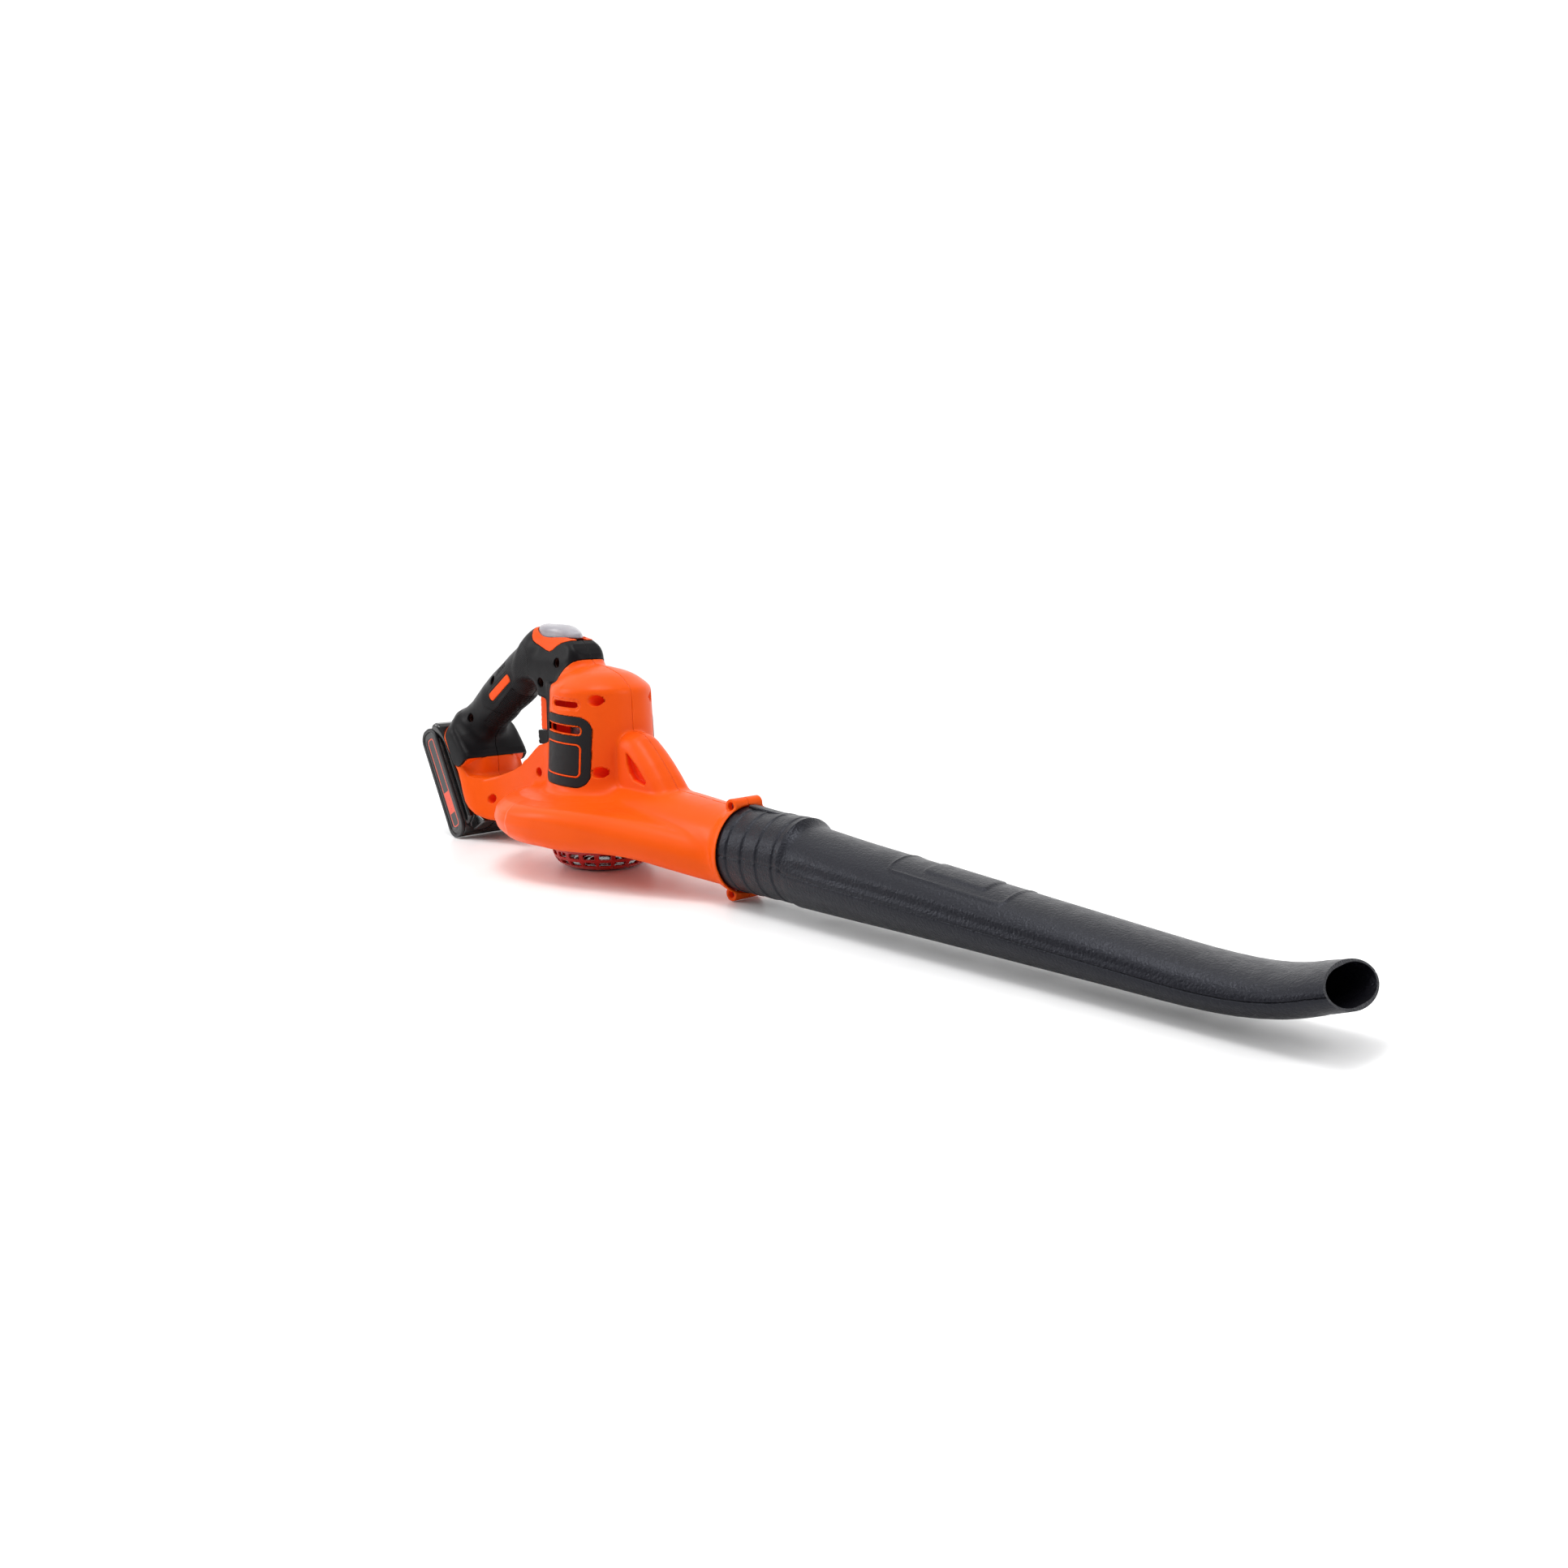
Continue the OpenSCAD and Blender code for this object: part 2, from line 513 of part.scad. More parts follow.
module fan() { // radial fan: back plate on top, blades below, hub on the shaft
  color(pack_black) difference() {
    union() {
      translate([0, 0, 53.5]) cylinder(r = fan_r, h = 2.2, $fn = 80);
      translate([0, 0, 33.4]) cylinder(r1 = 9, r2 = 13, h = 20.6, $fn = 48);
      for (i = [0:fan_blades - 1]) rotate([0, 0, i * 360 / fan_blades])
        intersection() {
          translate([0, 0, 28]) rotate_extrude($fn = 80) polygon([[8, 9], [30, 2.5], [fan_r - 0.4, 5], [fan_r - 0.4, 26], [8, 26]]);
          translate([-32, -2, 20]) difference() { cylinder(r = 47, h = 36, $fn = 80); translate([0, 0, -1]) cylinder(r = 45.2, h = 40, $fn = 80); translate([-60, -60, -1]) cube([120, 62, 40]); }
        }
    }
    translate([0, 0, 20]) cylinder(r = shaft_r, h = 50, $fn = 40);
  }
}
module fan_nut() {
  color(steel) translate([0, 0, 29.6]) difference() { cylinder(r = 4.6, h = 3.6, $fn = 6); translate([0, 0, -1]) cylinder(r = shaft_r, h = 6, $fn = 40); }
}
module screw_y(p, y0 = 7) { // head towards -Y
  translate([p[0], -y0, p[1]]) rotate([-90, 0, 0]) {
    difference() { translate([0, 0, -2.2]) cylinder(r = 3, h = 2.2, $fn = 28); translate([0, 0, -2.6]) cylinder(r = 1.2, h = 1.6, $fn = 6); }
    translate([0, 0, -0.01]) cylinder(r = 1.5, h = 2 * y0 - 0.5, $fn = 20);
  }
}
module housing_screws() {
  color(steel) { for (p = screw_pos) screw_y(p); for (z = [75.2, 6]) screw_y([duct_end - 5.2, z], 8); }
}

// ---------- wiring and terminals ----------
module wire(pts, r) {
  for (i = [0:len(pts) - 2]) hull() { translate(pts[i]) sphere(r = r, $fn = 10); translate(pts[i + 1]) sphere(r = r, $fn = 10); }
}
module motor_wires() {
  color(orange_dark) {
    wire([[-17, 0, 136.4], [-24, 0, 146], [-36, 0, 157], [-50, 0, 165.2]], 1.2);
    wire([[-77.4, 3.5, 172], [-98, 3.5, 168], [-140, 3.5, 143], [-164, 3.5, 132], [-182, 3.5, 122.8], [-189.5, 3.5, 110], [-187.5, 3.5, 95.5]], 1.2);
    wire([[17, 0, 136.4], [14, -3, 146], [-10, -5, 157], [-40, -5, 164.8], [-80, -5, 164.8], [-100, -5, 165], [-140, -5, 142], [-164, -5, 132], [-182, -5, 122.8], [-189.5, -5, 110], [-187.5, -5, 95.5]], 1.2);
  }
}
module terminal_block() {
  color(pack_black) bf() difference() {
    translate([24, -15, 31]) cube([30, 30, 8]);
    translate([27, -12, 35]) cube([24, 24, 5]);
    for (y = [-10, -4, 4, 10]) translate([28, y - 0.4, 25]) cube([14, 0.8, 10]);
  }
}
module terminal_blades() {
  color(copper) bf() for (y = [-10, -4, 4, 10]) translate([28, y - 0.4, 25]) cube([14, 0.8, 9.9]);
}

// ---------- tube ----------
// stations: x, centre z, half height, half width
tube_st = [[187.4, 39.5, 33.2, 33.6], [250, 37.6, 31.3, 32.8], [300, 34.9, 28.4, 33.2], [360, 32.6, 25.6, 33], [420, 30, 23, 32.6],
  [480, 27.3, 20.4, 32.2], [530, 25, 18.2, 31.8], [570, 23.2, 16.6, 31.6], [598, 23.6, 15.6, 31.6], [622, 26.6, 14.6, 31.6], [642, 32.6, 13.8, 31.8], [656, 39.8, 13.4, 32]];
function ip(a, x, k, i = 0) = (i >= len(a) - 2 || x <= a[i + 1][0]) ? let(t = (x - a[i][0]) / (a[i + 1][0] - a[i][0])) a[i][k] + (a[i + 1][k] - a[i][k]) * t : ip(a, x, k, i + 1);
// smooth value at x: average over a window
function sm(x, k, w = 12) = (ip(tube_st, x - w, k) + 2 * ip(tube_st, x, k) + ip(tube_st, x + w, k)) / 4;
tube_x = concat([for (x = [252:31:562]) x], [578, 592, 604, 616, 628, 638, 648, 656]);
function tilt(x) = x < 560 ? -2.6 : -2.6 + (mouth_tilt + 2.6) * pow((x - 560) / 96, 1.15);
function ring(x, o, side, n = 14) = let(c = sm(x, 1), h = sm(x, 2) - o, w = sm(x, 3) - o, t = tilt(x))
  [for (i = [0:n]) let(a = side > 0 ? 180 * i / n : 180 + 180 * i / n, yy = w * cos(a), zz = h * sin(a)) [x - zz * sin(t), yy, c + zz * cos(t)]];
module sweep_half(side, oo = 0, oi = 0) {
  n = 14;
  m = 2 * (n + 1);
  pts = [for (x = tube_x) each concat(ring(x, oo, side, n), [for (i = [n:-1:0]) ring(x, tube_wall + oi, side, n)[i]])];
  k = len(tube_x);
  polyhedron(points = pts, faces = concat(
    [for (s = [0:k - 2]) for (i = [0:m - 1]) let(j = (i + 1) % m, a = s * m + i, b = s * m + j, c = a + m, d = b + m) each [[a, d, b], [a, c, d]]],
    [for (i = [0:n - 1]) each [[m - 1 - i, i + 1, m - 2 - i], [m - 1 - i, i, i + 1]]],
    [for (i = [0:n - 1]) let(q = (k - 1) * m) each [[q + i, q + m - 2 - i, q + i + 1], [q + i, q + m - 1 - i, q + m - 2 - i]]]), convexity = 6);
}
module collar() { // stepped round collar with the spigot that pushes into the duct
  translate([0, 0, duct_z]) rotate([0, 90, 0]) rotate_extrude($fn = 72)
    polygon([[24.8, duct_end - 31], [26.6, duct_end - 31], [27, duct_end - 30], [27, duct_end - 5.8], [33.6, duct_end - 2.8], [33.6, duct_end + 9], [33.2, duct_end + 9.5],
      [33.4, duct_end + 25], [33, duct_end + 25.5], [33.3, duct_end + 41], [32.9, duct_end + 41.5], [33.1, duct_end + 58], [32.6, duct_end + 58.6], [32.4, duct_end + 66],
      [29.6, duct_end + 66], [30.6, duct_end + 2], [30, duct_end - 2.4], [24.8, duct_end - 6.4]]);
}
module tube_half(side) {
  intersection() {
    union() {
      collar();
      // flat key rib on top
      if (side > 0) translate([duct_end + 3.6, -3.8, duct_z + 31.4]) rotate([0, 4, 0]) cube([60, 7.6, 4.4]);
    }
    translate([duct_end, -60, duct_z]) rotate([0, 1.72, 0]) translate([-60, 0, side > 0 ? 0 : -60]) cube([200, 120, 60]);
    translate([100, -60, -20]) cube([152.8, 120, 120]);
  }
  sweep_half(side);
  if (side > 0) {
    // raised border and plaque on top
    intersection() {
      sweep_half(side, -0.6, -1);
      translate([0, 0, 40]) linear_extrude(height = 40) { difference() { plaque(346, 444, 21, 6); plaque(347, 443, 20, 5); } }
    }
    intersection() {
      sweep_half(side, -0.9, -1);
      translate([0, 0, 40]) linear_extrude(height = 40) plaque(372, 424, 13, 3.5);
    }
  }
}
module plaque(x0, x1, w, r) {
  translate([x0 + r, -w]) square([x1 - x0 - 2 * r, 2 * w]);
  translate([x0, -w + r]) square([x1 - x0, 2 * w - 2 * r]);
  for (x = [x0 + r, x1 - r]) for (y = [-w + r, w - r]) translate([x, y]) circle(r = r, $fn = 32);
}
module tube_upper() { color(black) tube_half(1); }
module tube_lower() { color(black) tube_half(-1); }

// ---------- battery pack ----------
module stadium(o, r = 11.5) { // side outline of the slab
  t = pack_t / 2 - o; l = pack_len;
  translate([o + r, -t]) square([l - 2 * o - 2 * r, 2 * t]);
  translate([o, -t + r]) square([l - 2 * o, 2 * t - 2 * r]);
  for (x = [o + r, l - o - r]) for (z = [-t + r, t - r]) translate([x, z]) circle(r = r, $fn = 48);
}
module along_y(y0, y1) { translate([0, y1, 0]) rotate([90, 0, 0]) linear_extrude(height = y1 - y0) children(); }
fr = 3.2; // thickness of the side frames
module pack_inner_space() { translate([5, -31.5, -10.4]) cube([102, 63, 20.8]); }
module pack_case_outer() {
  color(pack_black) bf() difference() {
    intersection() { along_y(-pack_w / 2 + fr, pack_w / 2 - fr) stadium(0); translate([-5, -60, -20]) cube([140, 120, 20]); }
    pack_inner_space();
    for (x = [12, 100]) for (y = [-26, 26]) translate([x, y, -14]) cylinder(r = 2.6, h = 2.4, $fn = 28);
  }
}
module block_plan(o = 0) { // plan of the raised middle of the pack, wider at the top end
  polygon([[-1.4 + o, -29], [0.2 + o, -34], [3.4, -36.7 + o], [9, -36.7 + o], [22, -33 + o], [103, -33 + o], [104, -32],
    [104, 32], [103, 33 - o], [22, 33 - o], [9, 36.7 - o], [3.4, 36.7 - o], [0.2 + o, 34], [-1.4 + o, 29]]);
}
module latch_block() { // raised end of the pack below the base
  along_y(-28, 28) polygon([[86, 13], [86, 21.8], [93, 23.2], [103, 29.6], [110.5, 36], [pack_len - 0.4, 37], [pack_len, 35], [pack_len, 13]]);
}
module pack_case_inner() {
  color(pack_black) bf() difference() {
    union() {
      intersection() { along_y(-pack_w / 2 + fr, pack_w / 2 - fr) stadium(0); translate([-5, -60, 0]) cube([140, 120, 20]); }
      along_y(-33, 33) polygon([[2.5, 8], [1.8, 14], [104, 14], [104, 8]]);
      translate([0, 0, 13.8]) linear_extrude(height = 6.6) block_plan(0);
      translate([0, 0, 20.3]) linear_extrude(height = 1.3, scale = 0.99) block_plan(1);
      // tower with rails
      translate([14, -17, 21]) cube([76, 34, 9.4]);
      translate([14, -23.6, 26.4]) cube([72, 47.2, 4]);
      latch_block();
    }
    pack_inner_space();
    // slots for the blades of the tool
    for (y = [-10, -4, 4, 10]) translate([12, y - 1.4, 22]) cube([34, 2.8, 12]);
    translate([12, -14, 8]) cube([60, 28, 14.2]);
    // well of the latch
    translate([95, -13.5, 12.4]) cube([13.4, 27, 10]);
    translate([108.2, -13.5, 5.4]) cube([10, 27, 25]);
    translate([95, -6.7, 12.4]) cube([6.4, 13.4, 40]);
  }
}
module frame_ring(side) {
  bf() along_y(side > 0 ? pack_w / 2 - fr : -pack_w / 2, side > 0 ? pack_w / 2 : -pack_w / 2 + fr) difference() {
    stadium(0);
    stadium(3.6, 8);
  }
}
module pack_frame_right() { color(grey) frame_ring(-1); }
module pack_frame_left() { color(grey) frame_ring(1); }
module plate(side) {
  bf() along_y(side > 0 ? pack_w / 2 - fr : -pack_w / 2 + 0.8, side > 0 ? pack_w / 2 - 0.8 : -pack_w / 2 + fr) stadium(3.65, 8);
}
module pack_plate_right() { color(pack_black) plate(-1); }
module pack_plate_left() { color(pack_black) plate(1); }
function cell_u(i) = 17 + i * 19.4;
module pack_cells() {
  color([0.2, 0.35, 0.6]) bf() for (i = [0:4]) translate([cell_u(i), 29, 0]) rotate([90, 0, 0]) cylinder(r = cell_r, h = 58, $fn = 48);
}
module cell_holder() {
  color([0.75, 0.75, 0.72]) bf() for (s = [-1, 1]) difference() {
    translate([5.4, s > 0 ? 20 : -25, -10.3]) cube([101.2, 5, 20.6]);
    for (i = [0:4]) translate([cell_u(i), 40, 0]) rotate([90, 0, 0]) cylinder(r = cell_r, h = 80, $fn = 48);
  }
}
module cell_straps() {
  color(steel) bf() for (s = [-1, 1]) translate([10, s > 0 ? 29 : -29.4, -4]) cube([92, 0.4, 8]);
}
module pack_board() { color([0.1, 0.35, 0.2]) bf() translate([16, -13.4, 11.2]) cube([52, 26.8, 1.6]); }
module pack_contacts() {
  color(copper) bf() for (y = [-10, -4, 4, 10]) for (s = [-1, 1]) translate([30, y + s * 0.85 - 0.25, 12.8]) cube([12, 0.5, 14]);
}
module pack_screws() {
  color(steel) bf() for (x = [12, 100]) for (y = [-26, 26]) translate([x, y, -13]) difference() { cylinder(r = 2.5, h = 1.4, $fn = 28); translate([0, 0, -0.4]) cylinder(r = 1.1, h = 1.2, $fn = 6); }
}
module pack_latch() { // release key on the end face, with the hook that locks in the base
  color(pack_black) bf() difference() {
    union() {
      translate([109, -12.8, 9]) cube([4.2, 25.6, 20]);
      translate([96, -12.8, 17.5]) cube([13.2, 25.6, 3.5]);
      translate([96, -6, 20.9]) cube([4, 12, 12.1]);
    }
    for (i = [0:3]) translate([113.8, -30, 12.6 + i * 4.2]) rotate([-90, 0, 0]) cylinder(r = 1.2, h = 60, $fn = 20);
  }
}
module latch_spring() {
  color(steel) bf() translate([104.2, 0, 12.5]) for (i = [0:2]) translate([0, 0, i * 0.8]) rotate_extrude($fn = 40) translate([3, 0.4]) circle(r = 0.35, $fn = 16);
}

housing_right();
housing_left();
handle_cover_right();
handle_cover_left();
side_panel_right();
side_panel_left();
panel_frame_right();
panel_frame_left();
grip_insert_right();
grip_insert_left();
finger_rib();
switch_surround();
thumb_slide();
switch_module();
inlet_grille();
motor_can();
magnets();
motor_end_bell();
motor_plate();
motor_screws();
bearing_lower();
bearing_upper();
motor_shaft();
armature();
commutator();
fan();
fan_nut();
housing_screws();
motor_wires();
terminal_block();
terminal_blades();
tube_upper();
tube_lower();
pack_case_outer();
pack_case_inner();
pack_frame_right();
pack_frame_left();
pack_plate_right();
pack_plate_left();
pack_cells();
cell_holder();
cell_straps();
pack_board();
pack_contacts();
pack_screws();
pack_latch();
latch_spring();
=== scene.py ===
import math
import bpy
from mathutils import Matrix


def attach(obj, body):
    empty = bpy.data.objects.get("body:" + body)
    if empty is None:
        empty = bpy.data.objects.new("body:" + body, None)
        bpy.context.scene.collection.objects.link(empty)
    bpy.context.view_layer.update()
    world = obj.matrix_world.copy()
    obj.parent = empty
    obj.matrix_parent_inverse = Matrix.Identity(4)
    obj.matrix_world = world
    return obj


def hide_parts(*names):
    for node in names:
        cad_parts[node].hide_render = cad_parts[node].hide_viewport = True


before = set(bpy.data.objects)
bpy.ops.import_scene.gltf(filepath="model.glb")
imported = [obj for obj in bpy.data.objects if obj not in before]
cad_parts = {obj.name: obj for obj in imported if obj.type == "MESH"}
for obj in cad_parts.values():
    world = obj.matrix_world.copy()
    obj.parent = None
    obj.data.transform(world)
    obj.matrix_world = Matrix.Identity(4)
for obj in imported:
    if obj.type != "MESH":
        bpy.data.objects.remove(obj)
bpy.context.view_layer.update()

from concurrent.futures import ThreadPoolExecutor

import bpy
import numpy as np
from mathutils import Vector

F = np.float32
SZ = 1.15          # voxel of the big shells, mm

# ---------------------------------------------------------------- signed distance tools (mm)
def smin(a, b, k):
    h = np.maximum(k - np.abs(a - b), 0) / k
    return np.minimum(a, b) - h * h * k * F(0.25)


def smax(a, b, k):
    h = np.maximum(k - np.abs(a - b), 0) / k
    return np.maximum(a, b) + h * h * k * F(0.25)


def cut(a, b, k=0.6):
    return smax(a, -b, k)


def poly(u, v, P):
    P = [(float(a), float(b)) for a, b in P]
    d = np.full(u.shape, 1e9, F)
    s = np.ones(u.shape, bool)
    j = len(P) - 1
    for i in range(len(P)):
        ex, ey = P[j][0] - P[i][0], P[j][1] - P[i][1]
        wx, wy = u - F(P[i][0]), v - F(P[i][1])
        t = np.clip((wx * F(ex) + wy * F(ey)) / F(ex * ex + ey * ey), 0, 1)
        bx, by = wx - F(ex) * t, wy - F(ey) * t
        d = np.minimum(d, bx * bx + by * by)
        c1, c2, c3 = v >= F(P[i][1]), v < F(P[j][1]), F(ex) * wy > F(ey) * wx
        s ^= (c1 & c2 & c3) | ~(c1 | c2 | c3)
        j = i
    return np.where(s, 1, -1).astype(F) * np.sqrt(d)


def smooth_poly(P, n=3, it=2, closed=True):
    """corner cutting of a polygon"""
    P = [tuple(p) for p in P]
    for _ in range(it):
        Q = []
        m = len(P)
        for i in range(m):
            a, b = P[i], P[(i + 1) % m]
            Q.append((a[0] * .78 + b[0] * .22, a[1] * .78 + b[1] * .22))
            Q.append((a[0] * .22 + b[0] * .78, a[1] * .22 + b[1] * .78))
        P = Q
    return P


def table(x, X, Y, n=400):
    """smooth interpolation through (X, Y), by Catmull-Rom resampled to a fine table"""
    X, Y = np.asarray(X, float), np.asarray(Y, float)
    m = np.gradient(Y, X)
    xs = np.linspace(X[0], X[-1], n)
    i = np.clip(np.searchsorted(X, xs) - 1, 0, len(X) - 2)
    h = X[i + 1] - X[i]
    t = (xs - X[i]) / h
    ys = ((2 * t**3 - 3 * t**2 + 1) * Y[i] + (t**3 - 2 * t**2 + t) * h * m[i]
          + (-2 * t**3 + 3 * t**2) * Y[i + 1] + (t**3 - t**2) * h * m[i + 1])
    return np.interp(x, xs, ys).astype(F)


def rrect(u, v, x0, x1, z0, z1, r):
    qx = np.abs(u - F((x0 + x1) / 2)) - F((x1 - x0) / 2 - r)
    qz = np.abs(v - F((z0 + z1) / 2)) - F((z1 - z0) / 2 - r)
    return np.sqrt(np.maximum(qx, 0)**2 + np.maximum(qz, 0)**2) + np.minimum(np.maximum(qx, qz), 0) - F(r)


def rbox(x, y, z, lo, hi, r):
    q = [np.abs(c - F((a + b) / 2)) - F((b - a) / 2 - r) for c, a, b in zip((x, y, z), lo, hi)]
    return (np.sqrt(sum(np.maximum(c, 0)**2 for c in q))
            + np.minimum(np.maximum(np.maximum(q[0], q[1]), q[2]), 0) - F(r))


def cone_cap(x, y, z, a, b, ra, rb):
    a, b = np.array(a, float), np.array(b, float)
    ab = b - a
    t = np.clip(((x - a[0]) * ab[0] + (y - a[1]) * ab[1] + (z - a[2]) * ab[2]) / (ab @ ab), 0, 1).astype(F)
    return (np.sqrt((x - F(a[0]) - t * F(ab[0]))**2 + (y - F(a[1]) - t * F(ab[1]))**2 + (z - F(a[2]) - t * F(ab[2]))**2)
            - (F(ra) + F(rb - ra) * t)).astype(F)


def hyp(a, b):
    return np.sqrt(a * a + b * b)


# ---------------------------------------------------------------- surface nets
def gradient(f, p, e):
    g = np.zeros(p.shape, F)
    for k in ((1, -1, -1), (-1, -1, 1), (-1, 1, -1), (1, 1, 1)):
        k = np.array(k, F)
        q = p + k * F(e)
        g += k * f(q[:, 0], q[:, 1], q[:, 2])[:, None]
    return g / F(4 * e)


def chunked(f, p, n=60000):
    out = np.empty(len(p), F)

    def run(i):
        q = p[i:i + n]
        out[i:i + n] = f(q[:, 0], q[:, 1], q[:, 2])

    with ThreadPoolExecutor(4) as ex:
        list(ex.map(run, range(0, len(p), n)))
    return out


def nets(f, lo, hi, h, steps=3, slack=1.35):
    B = 6
    lo = np.array(lo, float) - 1.6 * h
    n = np.ceil((np.array(hi, float) + 1.6 * h - lo) / h / B).astype(int) * B
    D = np.empty(n, F)
    nb = n // B
    gi = np.stack(np.meshgrid(*[np.arange(k) for k in nb], indexing="ij"), -1).reshape(-1, 3)
    cen = (lo + (gi * B + (B - 1) / 2) * h).astype(F)
    dc = chunked(f, cen)
    D.reshape(nb[0], B, nb[1], B, nb[2], B)[:] = dc.reshape(nb)[:, None, :, None, :, None]
    near = np.abs(dc) < B * h * 0.5 * 1.732 * slack
    gi = gi[near]
    off = np.stack(np.meshgrid(*[np.arange(B)] * 3, indexing="ij"), -1).reshape(-1, 3)

    def block(i):
        idx = (gi[i:i + 280, None, :] * B + off[None]).reshape(-1, 3)
        p = (lo + idx * h).astype(F)
        D[idx[:, 0], idx[:, 1], idx[:, 2]] = f(p[:, 0], p[:, 1], p[:, 2])

    with ThreadPoolExecutor(4) as ex:
        list(ex.map(block, range(0, len(gi), 280)))
    S = D < 0
    ids, pos, quads = [], [], []
    st = np.array([n[1] * n[2], n[2], 1])
    for ax in range(3):
        a = [slice(None)] * 3
        b = [slice(None)] * 3
        a[ax], b[ax] = slice(0, -1), slice(1, None)
        e = np.argwhere(S[tuple(a)] != S[tuple(b)])
        o1, o2 = [k for k in range(3) if k != ax]
        e = e[(e[:, o1] > 0) & (e[:, o2] > 0) & (e[:, o1] < n[o1] - 1) & (e[:, o2] < n[o2] - 1)]
        if not len(e):
            continue
        d0 = D[e[:, 0], e[:, 1], e[:, 2]]
        e2 = e.copy()
        e2[:, ax] += 1
        d1 = D[e2[:, 0], e2[:, 1], e2[:, 2]]
        t = np.clip(d0 / (d0 - d1), 0.02, 0.98)
        p = e.astype(float)
        p[:, ax] += t
        base = e @ st
        c = [base - st[o1] - st[o2], base - st[o2], base, base - st[o1]]
        for k in c:
            ids.append(k)
            pos.append(p)
        q = np.stack(c, 1)
        inside = d0 < 0
        if ax == 1:
            inside = ~inside
        q[~inside] = q[~inside][:, ::-1]
        quads.append(q)
    ids, pos, quads = np.concatenate(ids), np.concatenate(pos), np.concatenate(quads)
    u, inv, cnt = np.unique(ids, return_inverse=True, return_counts=True)
    P = np.stack([np.bincount(inv, pos[:, k], len(u)) / cnt for k in range(3)], 1)
    P = (lo + P * h).astype(F)
    Q = np.searchsorted(u, quads)
    N = np.empty_like(P)
    n = 30000

    def relax(i):
        p = P[i:i + n]
        for s in range(steps):
            g = gradient(f, p, 0.22 * h)
            d = f(p[:, 0], p[:, 1], p[:, 2])
            gg = np.maximum((g * g).sum(1), 0.12)
            p = p - np.clip(d / gg, -0.6 * h, 0.6 * h)[:, None] * g * F(0.85 if s < steps - 1 else 1)
        P[i:i + n] = p
        g = gradient(f, p, 0.3 * h)
        N[i:i + n] = g / np.maximum(np.sqrt((g * g).sum(1)), 1e-6)[:, None]

    with ThreadPoolExecutor(4) as ex:
        list(ex.map(relax, range(0, len(P), n)))
    return P, Q, N


def mesh_object(name, P, Q, N=None, attrs=None, mats=(), tris=None):
    me = bpy.data.meshes.new(name)
    P = np.asarray(P, float) / 1000.0
    Q = np.asarray(Q).astype(np.int32)
    T = np.zeros((0, 3), np.int32) if tris is None else np.asarray(tris).astype(np.int32)
    me.vertices.add(len(P))
    me.vertices.foreach_set("co", P.astype(F).ravel())
    loops = np.concatenate([Q.ravel(), T.ravel()])
    me.loops.add(len(loops))
    me.loops.foreach_set("vertex_index", loops)
    me.polygons.add(len(Q) + len(T))
    start = np.concatenate([np.arange(len(Q)) * Q.shape[1], Q.size + np.arange(len(T)) * 3]).astype(np.int32)
    total = np.concatenate([np.full(len(Q), Q.shape[1]), np.full(len(T), 3)]).astype(np.int32)
    me.polygons.foreach_set("loop_start", start)
    me.polygons.foreach_set("loop_total", total)
    me.update(calc_edges=True)
    me.validate()
    me.polygons.foreach_set("use_smooth", np.ones(len(me.polygons), bool))
    for m in mats:
        me.materials.append(m)
    if attrs:
        for an, av in attrs.items():
            at = me.attributes.new(an, "FLOAT", "POINT")
            at.data.foreach_set("value", np.asarray(av, F))
    if N is not None and len(me.vertices) == len(N):
        me.normals_split_custom_set_from_vertices(np.asarray(N, float).tolist())
    ob = bpy.data.objects.new(name, me)
    bpy.context.scene.collection.objects.link(ob)
    return ob


def coarsen(P, Q, N, mask, cell):
    """clusters the vertices under mask, which nobody sees, on a coarse grid"""
    key = np.floor(P[mask] / cell).astype(np.int64)
    oc = (N[mask] > 0).astype(np.int64) @ np.array([1, 2, 4])
    k = ((key[:, 0] + 500) * 2000 + key[:, 1] + 500) * 2000 + key[:, 2] + 500
    k = k * 8 + oc
    u, inv, cnt = np.unique(k, return_inverse=True, return_counts=True)
    mp = np.stack([np.bincount(inv, P[mask][:, i], len(u)) / cnt for i in range(3)], 1)
    mn = np.stack([np.bincount(inv, N[mask][:, i], len(u)) / cnt for i in range(3)], 1)
    mn /= np.maximum(np.linalg.norm(mn, axis=1), 1e-6)[:, None]
    keep = ~mask
    new = np.empty(len(P), np.int64)
    new[keep] = np.arange(keep.sum())
    new[mask] = keep.sum() + inv
    P2 = np.concatenate([P[keep], mp]).astype(F)
    N2 = np.concatenate([N[keep], mn]).astype(F)
    touched = mask[Q].any(1)
    Q1 = new[Q[~touched]]
    q = new[Q[touched]]
    t = np.concatenate([q[:, [0, 1, 2]], q[:, [0, 2, 3]]])
    ok = (t[:, 0] != t[:, 1]) & (t[:, 1] != t[:, 2]) & (t[:, 0] != t[:, 2])
    t = t[ok]
    srt = np.sort(t, 1)
    _, iv, ct = np.unique(srt, axis=0, return_inverse=True, return_counts=True)
    t = t[ct[iv.ravel()] == 1]
    used = np.zeros(len(P2), bool)
    used[Q1.ravel()] = True
    used[t.ravel()] = True
    back = np.cumsum(used) - 1
    return P2[used], back[Q1], N2[used], back[t]


def sdf_object(name, f, lo, hi, h, mats, attrs=None, steps=3, slack=1.35, coarse=None):
    P, Q, N = nets(f, lo, hi, h, steps, slack)
    T = None
    if coarse:
        P, Q, N, T = coarsen(P, Q, N, coarse[0](P), coarse[1])
    A = {k: chunked(g, P) for k, g in (attrs or {}).items()}
    print(name, len(Q), 0 if T is None else len(T), flush=True)
    return mesh_object(name, P, Q, N, A, mats, T)


# ---------------------------------------------------------------- the outer forms of the blower (mm)
UX, UZ = math.cos(math.radians(61)), math.sin(math.radians(61))


